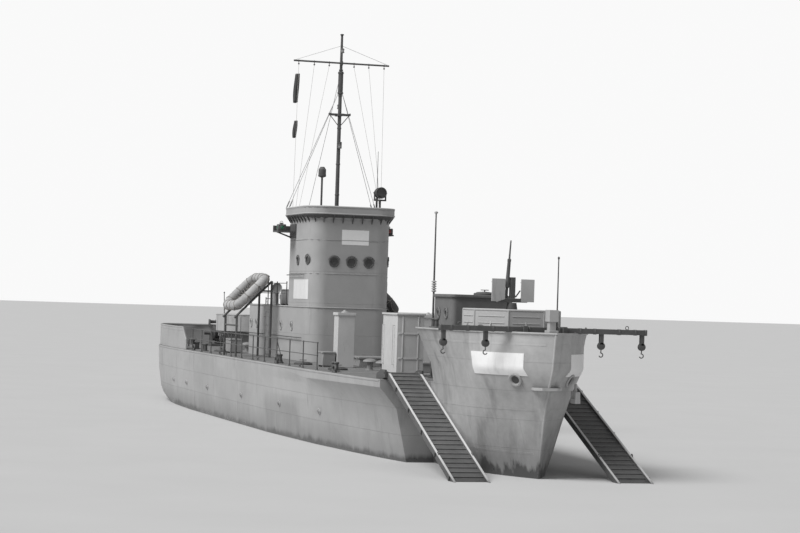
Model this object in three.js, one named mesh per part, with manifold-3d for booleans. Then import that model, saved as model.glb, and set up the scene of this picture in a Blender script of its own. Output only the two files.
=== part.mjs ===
import * as THREE from 'three';
import { mergeVertices } from 'three/addons/utils/BufferGeometryUtils.js';
import Module from 'manifold-3d';

// All sizes below are in metres of the real craft, measured from the stem foot at the waterline.
// x runs forward, y to port, z up from the waterline.

// Scale and frame
const MM_PER_METRE = 500;
const MID_LENGTH_X = -23.1;
const GAP = 0.0008;
const ROUND_SEGMENTS = 24;
const PIPE_SEGMENTS = 8;

// Decks
const MAIN_DECK_Z = 2.55;
const FORECASTLE_Z = 4.2;
const SHOULDER_X = -5.9;
const FORECASTLE_AFT_X = -4.9;

// Hull sections from the stern forward, each from the keel up to the deck edge
const HULL_SECTIONS = table(
  ['x', 'keelZ', 'flatY', 'bilgeY', 'bilgeZ', 'sideY', 'sideZ'].concat(
    ['kneeY', 'kneeZ', 'strakeY', 'strakeZ', 'deckY'],
  ),
  [
    [-47.25, 0.3, 1.0, 1.42, 0.5, 1.6, 0.95, 1.7, 1.6, 1.75, 2.1, 1.75],
    [-46.9, 0.2, 1.3, 1.9, 0.4, 2.14, 0.85, 2.25, 1.5, 2.3, 2.05, 2.3],
    [-46.2, 0.1, 1.55, 2.3, 0.3, 2.57, 0.75, 2.69, 1.5, 2.74, 2.05, 2.75],
    [-45.0, 0.0, 1.7, 2.6, 0.2, 2.9, 0.6, 3.02, 1.4, 3.07, 2.05, 3.08],
    [-43.0, -0.3, 1.85, 2.85, 0.0, 3.15, 0.4, 3.26, 1.3, 3.31, 2.0, 3.32],
    [-40.0, -0.8, 2.0, 3.0, -0.35, 3.3, 0.2, 3.42, 1.2, 3.46, 2.0, 3.47],
    [-35.0, -1.3, 2.1, 3.1, -0.8, 3.4, 0.0, 3.5, 1.4, 3.54, 2.1, 3.545],
    [-29.0, -1.5, 2.1, 3.15, -1.0, 3.42, 0.0, 3.51, 1.5, 3.54, 2.15, 3.545],
    [-20.0, -1.45, 2.0, 3.1, -0.95, 3.4, 0.0, 3.49, 1.6, 3.54, 2.2, 3.545],
    [-14.0, -1.3, 1.7, 2.8, -0.8, 3.15, 0.0, 3.32, 1.7, 3.51, 2.25, 3.52],
    [-10.0, -1.2, 1.35, 2.35, -0.7, 2.8, 0.0, 3.02, 1.7, 3.42, 2.28, 3.43],
    [-7.5, -1.1, 1.1, 2.0, -0.6, 2.5, 0.0, 2.82, 1.68, 3.3, 2.3, 3.31],
    [-5.9, -1.02, 0.95, 1.75, -0.55, 2.25, 0.0, 2.62, 1.65, 3.17, 2.3, 3.18],
  ],
);
const SKEG = { x0: -44.2, x1: -35.5, halfY: 0.08, bottomZ: -1.5, topZ: 0.0 };

// Bow outlines from the forefoot up
const BOW_LEVELS = [
  { z: -0.85, aftY: 0.35, stemX: -2.6, fullness: 2.4 },
  { z: -0.4, aftY: 0.85, stemX: -1.0, fullness: 2.5 },
  { z: 0.0, aftY: 1.35, stemX: -0.1, fullness: 2.7 },
  { z: 0.75, aftY: 1.6, stemX: 0.05, fullness: 3.0 },
  { z: 1.55, aftY: 1.7, stemX: 0.2, fullness: 3.7 },
  { z: 2.42, aftY: 1.74, stemX: 0.48, fullness: 5.0 },
  { z: 3.15, aftY: 1.86, stemX: 0.86, fullness: 6.2 },
  { z: 4.0, aftY: 2.28, stemX: 1.0, fullness: 3.7 },
  { z: FORECASTLE_Z, aftY: 2.38, stemX: 1.05, fullness: 3.5 },
];
const BOW_STEPS = [0, 0.3, 0.5, 0.63, 0.73, 0.81, 0.87, 0.92, 0.96, 0.985, 1];
const STEM_SHELF = { x0: 0.1, x1: 0.66, halfY: 0.42, z0: 2.56, z1: 2.64 };

// Ramps
const RAMP = {
  hingeX: -5.82,
  hingeZ: 2.74,
  centreY: 2.45,
  width: 1.06,
  length: 9.3,
  slopeDeg: 21.7,
  depth: 0.16,
  stringer: 0.05,
  plate: 0.03,
  plateDrop: 0.05,
  cleat: 0.03,
  cleatPitch: 0.3,
  pinOverhang: 0.03,
};
const RAMP_SILL = { x0: -6.7, cheek: 0.06, clear: 0.03, height: 0.3, base: 0.06 };
const RAMP_BEAM = { x: 0.0, halfY: 3.15, height: 0.15, width: 0.16, clampY: 0.6 };
const BLOCK_Y = [1.76, 3.02];

// Forecastle fittings
const TUB = { x: -2.9, radius: 1.46, wall: 0.05, height: 0.6, sides: 8 };
const MOUNT = {
  pedestalHeight: 0.78,
  baseR: 0.36,
  topR: 0.14,
  shieldY: 0.46,
  shieldW: 0.42,
  tubeY: -0.19,
  tubeTopY: -0.1,
  tubeHeight: 1.85,
};
const STEM_POST = { x0: 0.42, x1: 0.82, halfY: 0.14, topZ: 4.86 };
const ANCHOR = { x: 0.05, y: 1.0, topZ: 2.75, shank: 0.5, crown: 0.2, fluke: 0.28 };
const FORWARD_HOUSE = { x0: -7.6, x1: -5.6, halfY: 1.0, topZ: 5.24, cap: 0.06, capHeight: 0.09 };
const WHIP_POLE = { x: -7.78, y: -0.95, topZ: 7.85, radius: 0.045 };

// Deck boxes
const COMPANIONWAY = { x0: -10.4, x1: -8.7, y0: 0.95, y1: 1.85, topZ: 4.55, wall: 0.05 };
const COMPANION_DOOR = { width: 0.7, height: 1.7, sill: 0.12, thick: 0.04 };
const VENT_TRUNK = { x0: -16.8, x1: -16.2, y0: 1.25, y1: 1.85, topZ: 4.5 };

// Deckhouse and conning tower
const DECKHOUSE = { x0: -32.5, x1: -21.58, halfY: 1.62, topZ: 4.65, corner: 0.65 };
const HOUSE_DOOR = { x: -28.2, width: 0.75, height: 1.7, sill: 0.15, depth: 0.6, thick: 0.05 };
const TOWER = { x0: -25.6, x1: -21.6, halfY: 1.6, topZ: 7.2, corner: 0.65 };
const BRIDGE = { wallTopZ: 7.97, lipZ: 8.17, topZ: 8.45, lip: 0.2, wall: 0.05, floor: 0.1 };
const SCREEN = {
  x0: -24.9,
  x1: -24.0,
  tipY: 2.33,
  z0: 7.28,
  height: 0.55,
  shelf: 0.22,
  boardTop: 0.48,
  wall: 0.05,
};
const MAST = {
  x: -24.1,
  topZ: 15.32,
  baseR: 0.085,
  topR: 0.045,
  doublingZ: 12.95,
  doublingTopZ: 13.85,
  yardZ: 14.17,
  yardHalf: 1.92,
  lampZ: 10.84,
};
const CROSSTREE = { z: 12.16, half: 0.42 };
const SEARCHLIGHT = { x: -21.97, y: 1.15, drumZ: 9.07, drumR: 0.205, drumHalf: 0.16 };
const SIGNAL_POST = { x: -23.0, y: -0.9, knobZ: 9.65, topZ: 10.03, radius: 0.04, knobR: 0.15 };

// Rafts
const RAFT = { x0: -29.2, x1: -26.3, innerY: 2.0, outerY: 3.4, innerZ: 5.85, outerZ: 4.45, tube: 0.2 };

// Stern gear
const BULWARK = { topZ: 3.5, foreTopZ: 2.95, levelX: -37.1, foreX: -36.2, wall: 0.05, inset: 0.06 };
const AFT_PLATFORM = { x: -40.0, radius: 1.0, topR: 1.2, topZ: 3.35 };
const AFT_TUB = { x: AFT_PLATFORM.x, radius: 1.35, wall: 0.05, height: 0.75, sides: 24 };
const WINCH = { x: -44.3, drumR: 0.35, halfY: 0.7 };
const RAIL = { height: 0.95, post: 0.022, rail: 0.016, y: 3.44, x0: -34.8, x1: -12.8, count: 12 };
const SHAFT = { y: 1.55, z: -0.95, x0: -44.0, x1: -39.3, radius: 0.07, strutX: -43.6 };
const PROPELLER = { x: -44.25, radius: 0.58, hubR: 0.13, hubLength: 0.34, blades: 4 };
const RUDDER = {
  x0: -46.05,
  x1: -45.05,
  z0: -1.4,
  z1: -0.1,
  thick: 0.09,
  stockX: -45.35,
  stockR: 0.06,
  stockTopZ: 0.01,
};

// Finishes
const COLOURS = {
  hull: 0x8b8f8c,
  deck: 0x6f7471,
  ramp: 0x777b78,
  fitting: 0x5d615f,
  raft: 0x9a9a90,
  bronze: 0x8a6a3c,
  underwater: 0x4a3a36,
};

const wasm = await Module();
wasm.setup();

// Ready-made solids

function table(columns, rows) {
  return rows.map((row) => Object.fromEntries(columns.map((name, i) => [name, row[i]])));
}

function toSolid(geometry) {
  const plain = geometry.clone();
  plain.deleteAttribute('normal');
  plain.deleteAttribute('uv');
  const merged = mergeVertices(plain, 1e-5);
  const mesh = new wasm.Mesh({
    numProp: 3,
    vertProperties: new Float32Array(merged.attributes.position.array),
    triVerts: new Uint32Array(merged.index.array),
  });
  return new wasm.Manifold(mesh);
}

function fromSolid(solid) {
  const mesh = solid.getMesh();
  const geometry = new THREE.BufferGeometry();
  geometry.setAttribute('position', new THREE.BufferAttribute(new Float32Array(mesh.vertProperties), 3));
  geometry.setIndex(new THREE.BufferAttribute(new Uint32Array(mesh.triVerts), 1));
  return geometry;
}

function join(geometries) {
  return fromSolid(geometries.map(toSolid).reduce((sum, next) => sum.add(next)));
}

function cut(geometry, tools) {
  return fromSolid(tools.map(toSolid).reduce((rest, tool) => rest.subtract(tool), toSolid(geometry)));
}

function facesOut(positions, index) {
  let volume = 0;
  for (let i = 0; i < index.length; i += 3) {
    const [a, b, c] = [index[i], index[i + 1], index[i + 2]].map((k) => new THREE.Vector3(...positions[k]));
    volume += a.dot(b.cross(c));
  }
  if (volume > 0) {
    return index;
  }
  const flipped = [];
  for (let i = 0; i < index.length; i += 3) {
    flipped.push(index[i], index[i + 2], index[i + 1]);
  }
  return flipped;
}

function loft(loops) {
  const count = loops[0].length;
  const positions = loops.flat();
  const index = [];
  for (let s = 0; s + 1 < loops.length; s += 1) {
    for (let i = 0; i < count; i += 1) {
      const a = s * count + i;
      const b = s * count + ((i + 1) % count);
      index.push(a, b, b + count, a, b + count, a + count);
    }
  }
  for (const [start, reverse] of [[0, true], [(loops.length - 1) * count, false]]) {
    const loop = loops[start / count];
    const centre = [0, 1, 2].map((k) => loop.reduce((sum, p) => sum + p[k], 0) / count);
    const centreIndex = positions.length;
    positions.push(centre);
    for (let i = 0; i < count; i += 1) {
      const a = start + i;
      const b = start + ((i + 1) % count);
      index.push(...(reverse ? [centreIndex, b, a] : [centreIndex, a, b]));
    }
  }
  const geometry = new THREE.BufferGeometry();
  geometry.setAttribute('position', new THREE.BufferAttribute(new Float32Array(positions.flat()), 3));
  geometry.setIndex(facesOut(positions, index));
  return geometry;
}

function block(x0, x1, y0, y1, z0, z1) {
  const box = new THREE.BoxGeometry(x1 - x0, y1 - y0, z1 - z0);
  return box.translate((x0 + x1) / 2, (y0 + y1) / 2, (z0 + z1) / 2);
}

function rod(from, to, radius, endRadius = radius, segments = PIPE_SEGMENTS) {
  const start = new THREE.Vector3(...from);
  const way = new THREE.Vector3(...to).sub(start);
  const geometry = new THREE.CylinderGeometry(endRadius, radius, way.length(), segments);
  const up = new THREE.Vector3(0, 1, 0);
  const turn = new THREE.Quaternion().setFromUnitVectors(up, way.clone().normalize());
  geometry.applyQuaternion(turn);
  const middle = start.addScaledVector(way, 0.5);
  return geometry.translate(middle.x, middle.y, middle.z);
}

function turned(profile, x, y, z, segments = ROUND_SEGMENTS) {
  const geometry = new THREE.LatheGeometry(profile.map(([r, h]) => new THREE.Vector2(r, h)), segments);
  return geometry.rotateX(Math.PI / 2).translate(x, y, z);
}

function sideProfile(points, y0, y1) {
  const shape = new THREE.Shape(points.map(([x, z]) => new THREE.Vector2(x, z)));
  const geometry = new THREE.ExtrudeGeometry(shape, { depth: y1 - y0, bevelEnabled: false });
  return geometry.rotateX(Math.PI / 2).translate(0, y1, 0);
}

function plan(points, z0, z1) {
  const shape = new THREE.Shape(points.map(([x, y]) => new THREE.Vector2(x, y)));
  return new THREE.ExtrudeGeometry(shape, { depth: z1 - z0, bevelEnabled: false }).translate(0, 0, z0);
}

function mirrored(geometry) {
  const copy = geometry.index ? geometry.clone() : mergeVertices(geometry.clone(), 1e-5);
  copy.scale(1, -1, 1);
  const index = copy.index.array;
  for (let i = 0; i < index.length; i += 3) {
    [index[i + 1], index[i + 2]] = [index[i + 2], index[i + 1]];
  }
  return copy;
}

function roundedPlan(x0, x1, halfY, corner, steps = 3) {
  const centres = [
    [x1 - corner, halfY - corner, 0],
    [x0 + corner, halfY - corner, 1],
    [x0 + corner, -halfY + corner, 2],
    [x1 - corner, -halfY + corner, 3],
  ];
  return centres.flatMap(([cx, cy, quarter]) => Array.from({ length: steps + 1 }, (_, i) => {
    const angle = (quarter + i / steps) * (Math.PI / 2);
    return [cx + corner * Math.cos(angle), cy + corner * Math.sin(angle)];
  }));
}

// Hull

function hullLoop(s) {
  const half = [
    [s.flatY, s.keelZ],
    [s.bilgeY, s.bilgeZ],
    [s.sideY, s.sideZ],
    [s.kneeY, s.kneeZ],
    [s.strakeY, s.strakeZ],
    [s.deckY, MAIN_DECK_Z],
  ];
  const port = half.map(([y, z]) => [s.x, y, z]);
  const starboard = half.slice().reverse().map(([y, z]) => [s.x, -y, z]);
  return [...port, ...starboard];
}

function keelAt(x) {
  const next = HULL_SECTIONS.findIndex((s) => s.x >= x);
  const [a, b] = [HULL_SECTIONS[next - 1], HULL_SECTIONS[next]];
  return THREE.MathUtils.mapLinear(x, a.x, b.x, a.keelZ, b.keelZ);
}

function hull() {
  const body = loft(HULL_SECTIONS.map(hullLoop));
  const skeg = sideProfile([
    [SKEG.x0, SKEG.topZ],
    [SKEG.x0 + 0.6, SKEG.bottomZ],
    [SKEG.x1, SKEG.bottomZ],
    [SKEG.x1 + 1.5, SKEG.topZ],
  ], -SKEG.halfY, SKEG.halfY);
  return join([body, skeg]);
}

function bowLoop(level) {
  const aftX = SHOULDER_X + GAP;
  const span = level.stemX - aftX;
  const port = BOW_STEPS.map((t) => [aftX + span * t, level.aftY * (1 - t ** level.fullness), level.z]);
  const starboard = port.slice(0, -1).reverse().map(([x, y, z]) => [x, -y, z]);
  return [...port, ...starboard];
}

function bow() {
  const body = loft(BOW_LEVELS.map(bowLoop));
  const step = block(SHOULDER_X - 1, FORECASTLE_AFT_X, -3, 3, MAIN_DECK_Z, FORECASTLE_Z + 1);
  const s = STEM_SHELF;
  const shelf = plan([
    [s.x0, -s.halfY],
    [s.x1 - 0.15, -s.halfY],
    [s.x1, -s.halfY + 0.18],
    [s.x1, s.halfY - 0.18],
    [s.x1 - 0.15, s.halfY],
    [s.x0, s.halfY],
  ], s.z0, s.z1);
  return join([cut(body, [step]), shelf]);
}

function stemPost() {
  const p = STEM_POST;
  const z0 = FORECASTLE_Z + GAP;
  const foot = block(p.x0, p.x1, -p.halfY, p.halfY, z0, z0 + 0.08);
  const post = block(p.x0 + 0.08, p.x1 - 0.1, -p.halfY + 0.04, p.halfY - 0.04, z0 + 0.05, p.topZ - 0.3);
  const head = block(p.x0 + 0.02, p.x1 - 0.02, -p.halfY, p.halfY, p.topZ - 0.34, p.topZ);
  return join([foot, post, head]);
}

// Anchor, hanging against the port bow below its hawse
function anchor() {
  const a = ANCHOR;
  const bottomZ = a.topZ - a.shank;
  const shank = rod([a.x, a.y, a.topZ], [a.x, a.y, bottomZ], 0.04, 0.055);
  const crown = block(a.x - a.crown, a.x + a.crown, a.y - 0.08, a.y + 0.08, bottomZ - 0.06, bottomZ + 0.08);
  const flukes = [-1, 1].map((side) => {
    const x = a.x + side * (a.crown - 0.05);
    const fluke = block(x - 0.05, x + 0.05, -0.07, 0.07, 0, a.fluke);
    return fluke.translate(0, a.y, bottomZ);
  });
  return join([shank, crown, ...flukes]);
}

function tub(t, floorZ) {
  const outline = [
    [0, 0],
    [t.radius, 0],
    [t.radius, t.height],
    [t.radius - t.wall, t.height],
    [t.radius - t.wall, t.wall],
    [0, t.wall],
  ];
  const ring = turned(outline, 0, 0, 0, t.sides);
  ring.rotateZ(Math.PI / t.sides);
  return ring.translate(t.x, 0, floorZ + GAP);
}

function mountBase(t, floorZ) {
  const outline = [
    [0, 0],
    [MOUNT.baseR, 0],
    [MOUNT.baseR, 0.05],
    [MOUNT.baseR * 0.7, 0.1],
    [MOUNT.topR, MOUNT.pedestalHeight],
    [0, MOUNT.pedestalHeight],
  ];
  return turned(outline, t.x, 0, floorZ + t.wall + 2 * GAP);
}

function mountHead(t, floorZ) {
  const m = MOUNT;
  const z = floorZ + t.wall + m.pedestalHeight + 0.012;
  const yoke = block(t.x - 0.1, t.x + 0.1, -m.shieldY, m.shieldY, z, z + 0.12);
  const cradle = block(t.x - 0.09, t.x + 0.09, -0.07, 0.07, z + 0.05, z + 0.75);
  const tube = rod([t.x, m.tubeY, z + 0.05], [t.x + 0.04, m.tubeTopY, z + m.tubeHeight], 0.05, 0.022);
  const plates = [-1, 1].map((side) => {
    const y = side * m.shieldY;
    return block(t.x + 0.06, t.x + 0.1, y - m.shieldW / 2, y + m.shieldW / 2, z + 0.02, z + 0.7);
  });
  return join([yoke, cradle, tube, ...plates]);
}

// Ramps, drawn level from the hinge and then sloped down to port

function ramp() {
  const half = RAMP.width / 2;
  const parts = [-1, 1].map((side) => {
    const y = side * (half - RAMP.stringer / 2);
    return sideProfile([
      [0.06, -RAMP.depth],
      [RAMP.length - 0.25, -RAMP.depth],
      [RAMP.length, 0.0],
      [-0.04, 0.0],
      [-0.04, -0.1],
    ], y - RAMP.stringer / 2, y + RAMP.stringer / 2);
  });
  const top = -RAMP.plateDrop;
  parts.push(block(0.02, RAMP.length - 0.1, -half + 0.01, half - 0.01, top - RAMP.plate, top));
  const count = Math.floor((RAMP.length - 0.5) / RAMP.cleatPitch);
  for (let i = 0; i <= count; i += 1) {
    const x = 0.2 + i * RAMP.cleatPitch;
    parts.push(block(x, x + 0.06, -half + 0.02, half - 0.02, top - 0.01, top + RAMP.cleat));
  }
  const pinEnd = half + RAMP.pinOverhang;
  parts.push(rod([0, -pinEnd, -0.05], [0, pinEnd, -0.05], 0.04));
  const body = join(parts);
  body.translate(0, 0, 0.05);
  body.rotateY(THREE.MathUtils.degToRad(RAMP.slopeDeg));
  return body.translate(RAMP.hingeX, RAMP.centreY, RAMP.hingeZ);
}

function rampSill() {
  const half = RAMP.width / 2 + RAMP_SILL.clear;
  const z0 = MAIN_DECK_Z + GAP;
  const base = block(
    RAMP_SILL.x0,
    SHOULDER_X - 0.05,
    RAMP.centreY - half - RAMP_SILL.cheek,
    RAMP.centreY + half + RAMP_SILL.cheek,
    z0,
    z0 + RAMP_SILL.base,
  );
  const cheeks = [-1, 1].map((side) => {
    const inner = RAMP.centreY + side * half;
    const outer = RAMP.centreY + side * (half + RAMP_SILL.cheek);
    const [y0, y1] = [Math.min(inner, outer), Math.max(inner, outer)];
    return sideProfile([
      [RAMP_SILL.x0, z0],
      [RAMP.hingeX + 0.1, z0 + 0.06],
      [RAMP.hingeX + 0.1, z0 + RAMP_SILL.height],
      [RAMP_SILL.x0 + 0.5, z0 + RAMP_SILL.height],
      [RAMP_SILL.x0, z0 + 0.15],
    ], y0, y1);
  });
  const pinHoles = rod(
    [RAMP.hingeX, RAMP.centreY - half - 0.2, RAMP.hingeZ],
    [RAMP.hingeX, RAMP.centreY + half + 0.2, RAMP.hingeZ],
    0.046,
    0.046,
    ROUND_SEGMENTS,
  );
  return cut(join([base, ...cheeks]), [pinHoles]);
}

function rampBeam() {
  const { x, halfY, height, width, clampY } = RAMP_BEAM;
  const z0 = FORECASTLE_Z + GAP;
  const parts = [block(x - width / 2, x + width / 2, -halfY, halfY, z0, z0 + height)];
  for (const side of [-1, 1]) {
    const y = side * clampY;
    parts.push(block(x - 0.14, x + 0.14, y - 0.06, y + 0.06, z0, z0 + height + 0.03));
    for (const at of BLOCK_Y) {
      parts.push(block(x - 0.05, x + 0.05, side * at - 0.06, side * at + 0.06, z0 - 0.3, z0 + 0.02));
    }
  }
  return join(parts);
}

// Deck boxes

function forwardHouse() {
  const h = FORWARD_HOUSE;
  const body = plan(roundedPlan(h.x0, h.x1, h.halfY, 0.15), MAIN_DECK_Z + GAP, h.topZ - 0.02);
  const capOutline = roundedPlan(h.x0 - h.cap, h.x1 + h.cap, h.halfY + h.cap, 0.2);
  return join([body, plan(capOutline, h.topZ - h.capHeight, h.topZ)]);
}

function whipPole() {
  const p = WHIP_POLE;
  const z0 = MAIN_DECK_Z + GAP;
  const pole = rod([p.x, p.y, z0], [p.x, p.y, p.topZ], p.radius, p.radius / 2);
  return join([rod([p.x, p.y, z0], [p.x, p.y, z0 + 0.04], 0.12), pole]);
}

function companionway() {
  const c = COMPANIONWAY;
  const z0 = MAIN_DECK_Z + GAP;
  const shell = block(c.x0, c.x1, c.y0, c.y1, z0, c.topZ);
  const w = c.wall;
  const inside = block(c.x0 + w, c.x1 - w, c.y0 + w, c.y1 - w, z0 + 0.04, c.topZ - w);
  const middle = (c.y0 + c.y1) / 2;
  const half = COMPANION_DOOR.width / 2;
  const sillZ = z0 + COMPANION_DOOR.sill;
  const headZ = sillZ + COMPANION_DOOR.height;
  const opening = block(c.x0 - 0.1, c.x0 + 0.2, middle - half, middle + half, sillZ, headZ);
  return cut(shell, [inside, opening]);
}

function companionDoor() {
  const c = COMPANIONWAY;
  const d = COMPANION_DOOR;
  const middle = (c.y0 + c.y1) / 2;
  const half = d.width / 2 + 0.03;
  const z0 = MAIN_DECK_Z + d.sill - 0.03;
  const x1 = c.x0 - 0.012;
  const leaf = block(x1 - d.thick, x1, middle - half, middle + half, z0, z0 + d.height + 0.06);
  const hingeY = middle - half;
  const barrel = rod([x1 - 0.02, hingeY, z0 + 0.1], [x1 - 0.02, hingeY, z0 + d.height - 0.1], 0.03);
  return join([leaf, barrel]);
}

function ventTrunk() {
  const v = VENT_TRUNK;
  const z0 = MAIN_DECK_Z + GAP;
  const trunk = block(v.x0, v.x1, v.y0, v.y1, z0, v.topZ - 0.08);
  const cap = block(v.x0 - 0.04, v.x1 + 0.04, v.y0 - 0.04, v.y1 + 0.04, v.topZ - 0.1, v.topZ);
  return join([trunk, cap]);
}

// Deckhouse, tower and bridge

function deckhouse() {
  const d = DECKHOUSE;
  const z0 = MAIN_DECK_Z + GAP;
  const body = plan(roundedPlan(d.x0, d.x1, d.halfY, d.corner), z0, d.topZ);
  const half = HOUSE_DOOR.width / 2;
  const sillZ = z0 + HOUSE_DOOR.sill;
  const recesses = [-1, 1].map((side) => {
    const inner = side * (d.halfY - HOUSE_DOOR.depth);
    const outer = side * (d.halfY + 0.2);
    const [y0, y1] = [Math.min(inner, outer), Math.max(inner, outer)];
    return block(HOUSE_DOOR.x - half, HOUSE_DOOR.x + half, y0, y1, sillZ, sillZ + HOUSE_DOOR.height);
  });
  return cut(body, recesses);
}

function houseDoor() {
  const h = HOUSE_DOOR;
  const half = h.width / 2 + 0.03;
  const y0 = DECKHOUSE.halfY + 0.012;
  const z0 = MAIN_DECK_Z + h.sill - 0.03;
  const leaf = block(h.x - half, h.x + half, y0, y0 + h.thick, z0, z0 + h.height + 0.06);
  const hingeX = h.x + half;
  const barrel = rod([hingeX, y0 + 0.03, z0 + 0.1], [hingeX, y0 + 0.03, z0 + h.height - 0.1], 0.028);
  return join([leaf, barrel]);
}

function tower() {
  const t = TOWER;
  return plan(roundedPlan(t.x0, t.x1, t.halfY, t.corner, 4), DECKHOUSE.topZ + GAP, t.topZ);
}

function ringAt(inset, z) {
  const t = TOWER;
  const corner = Math.max(t.corner - inset, 0.05);
  const outline = roundedPlan(t.x0 + inset, t.x1 - inset, t.halfY - inset, corner, 4);
  return outline.map(([x, y]) => [x, y, z]);
}

function bridge() {
  const b = BRIDGE;
  const z0 = TOWER.topZ + GAP;
  const outside = loft([
    ringAt(0, z0),
    ringAt(0, b.wallTopZ),
    ringAt(-b.lip, b.lipZ),
    ringAt(-b.lip, b.topZ),
  ]);
  const inside = loft([
    ringAt(b.wall, z0 + b.floor),
    ringAt(b.wall, b.wallTopZ),
    ringAt(b.wall - b.lip, b.lipZ),
    ringAt(b.wall - b.lip, b.topZ + 0.2),
  ]);
  return cut(outside, [inside]);
}

function sidelightScreen() {
  const s = SCREEN;
  const y0 = TOWER.halfY + GAP;
  const shelfZ = s.z0 + s.shelf;
  const shelf = block(s.x0, s.x1, y0, s.tipY, shelfZ, shelfZ + s.wall);
  const inner = block(s.x0, s.x1, y0, y0 + s.wall, s.z0, s.z0 + s.height);
  const after = block(s.x0, s.x0 + s.wall, y0, s.tipY, shelfZ, s.z0 + s.boardTop);
  const brace = rod([s.x0 + 0.2, y0 + 0.03, s.z0 + 0.03], [s.x0 + 0.2, s.tipY - 0.1, shelfZ + 0.02], 0.03);
  return join([shelf, inner, after, brace]);
}

function mast() {
  const m = MAST;
  const z0 = TOWER.topZ + BRIDGE.floor + 2 * GAP;
  const step = rod([m.x, 0, z0], [m.x, 0, z0 + 0.12], 0.2, 0.2, 12);
  const lower = rod([m.x, 0, z0], [m.x, 0, m.doublingZ + 0.05], m.baseR, 0.07, 10);
  const doubling = rod([m.x, 0, m.doublingZ], [m.x, 0, m.doublingTopZ], 0.1, 0.1, 10);
  const upper = rod([m.x, 0, m.doublingTopZ - 0.05], [m.x, 0, m.topZ], 0.06, m.topR, 10);
  const yard = rod([m.x + 0.08, -m.yardHalf, m.yardZ], [m.x + 0.08, m.yardHalf, m.yardZ], 0.035);
  const yoke = block(m.x - 0.04, m.x + 0.1, -0.05, 0.05, m.yardZ - 0.08, m.yardZ + 0.08);
  const c = CROSSTREE;
  const tree = block(m.x - 0.08, m.x + 0.08, -c.half, c.half, c.z - 0.04, c.z + 0.04);
  const treeBack = block(m.x - 0.3, m.x + 0.3, -0.12, 0.12, c.z - 0.05, c.z + 0.03);
  const lamp = rod([m.x + 0.1, 0, m.lampZ], [m.x + 0.1, 0, m.lampZ + 0.25], 0.1);
  return join([step, lower, doubling, upper, yard, yoke, tree, treeBack, lamp]);
}

function searchlight() {
  const { x, y, drumZ, drumR, drumHalf } = SEARCHLIGHT;
  const z0 = TOWER.topZ + BRIDGE.floor + 2 * GAP;
  const yokeZ = drumZ - drumR - 0.1;
  const base = rod([x, y, z0], [x, y, z0 + 0.05], 0.18, 0.18, 12);
  const post = rod([x, y, z0], [x, y, yokeZ + 0.03], 0.045);
  const yoke = block(x - 0.05, x + 0.05, y - 0.24, y + 0.24, yokeZ, yokeZ + 0.06);
  const arms = [-1, 1].map((side) => {
    const armY = y + side * 0.22;
    return block(x - 0.04, x + 0.04, armY - 0.02, armY + 0.02, yokeZ, drumZ + 0.02);
  });
  const drum = rod([x - drumHalf, y, drumZ], [x + drumHalf, y, drumZ], drumR, drumR, 16);
  return join([base, post, yoke, ...arms, drum]);
}

function signalPost() {
  const p = SIGNAL_POST;
  const z0 = TOWER.topZ + BRIDGE.floor + 2 * GAP;
  const base = rod([p.x, p.y, z0], [p.x, p.y, z0 + 0.05], 0.14, 0.14, 12);
  const post = rod([p.x, p.y, z0], [p.x, p.y, p.knobZ + 0.05], p.radius);
  const outline = [
    [0, 0],
    [p.knobR * 0.8, 0],
    [p.knobR, 0.06],
    [p.knobR, p.topZ - p.knobZ - 0.1],
    [p.knobR * 0.5, p.topZ - p.knobZ],
    [0, p.topZ - p.knobZ],
  ];
  return join([base, post, turned(outline, p.x, p.y, p.knobZ, 12)]);
}

// Rafts and their racks

function raftRing() {
  const r = RAFT;
  const width = Math.hypot(r.outerY - r.innerY, r.innerZ - r.outerZ);
  const length = r.x1 - r.x0;
  const path = roundedPlan(-length / 2 + r.tube, length / 2 - r.tube, width / 2 - r.tube, 0.5, 4);
  const loops = path.map(([x, y], i) => {
    const before = path[(i + path.length - 1) % path.length];
    const after = path[(i + 1) % path.length];
    const along = new THREE.Vector2(after[0] - before[0], after[1] - before[1]).normalize();
    return Array.from({ length: 10 }, (_, k) => {
      const angle = (k / 10) * 2 * Math.PI;
      const out = r.tube * Math.cos(angle);
      return [x + along.y * out, y - along.x * out, r.tube * Math.sin(angle)];
    });
  });
  return { loops, width, length };
}

function ringBody(loops) {
  const count = loops[0].length;
  const positions = loops.flat();
  const index = [];
  for (let s = 0; s < loops.length; s += 1) {
    const next = ((s + 1) % loops.length) * count;
    for (let i = 0; i < count; i += 1) {
      const j = (i + 1) % count;
      index.push(s * count + i, s * count + j, next + j, s * count + i, next + j, next + i);
    }
  }
  const geometry = new THREE.BufferGeometry();
  geometry.setAttribute('position', new THREE.BufferAttribute(new Float32Array(positions.flat()), 3));
  geometry.setIndex(facesOut(positions, index));
  return geometry;
}

function raft() {
  const r = RAFT;
  const { loops, width, length } = raftRing();
  const parts = [ringBody(loops)];
  for (const x of [-0.9, -0.45, 0, 0.45, 0.9]) {
    parts.push(block(x - 0.06, x + 0.06, -width / 2 + 0.2, width / 2 - 0.2, -0.06, -0.02));
  }
  for (const y of [-0.3, 0, 0.3]) {
    parts.push(block(-length / 2 + 0.2, length / 2 - 0.2, y - 0.05, y + 0.05, -0.03, 0.01));
  }
  const body = join(parts);
  const slope = Math.atan2(r.innerZ - r.outerZ, r.outerY - r.innerY);
  body.rotateX(-slope);
  return body.translate((r.x0 + r.x1) / 2, (r.innerY + r.outerY) / 2, (r.innerZ + r.outerZ) / 2);
}

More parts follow.
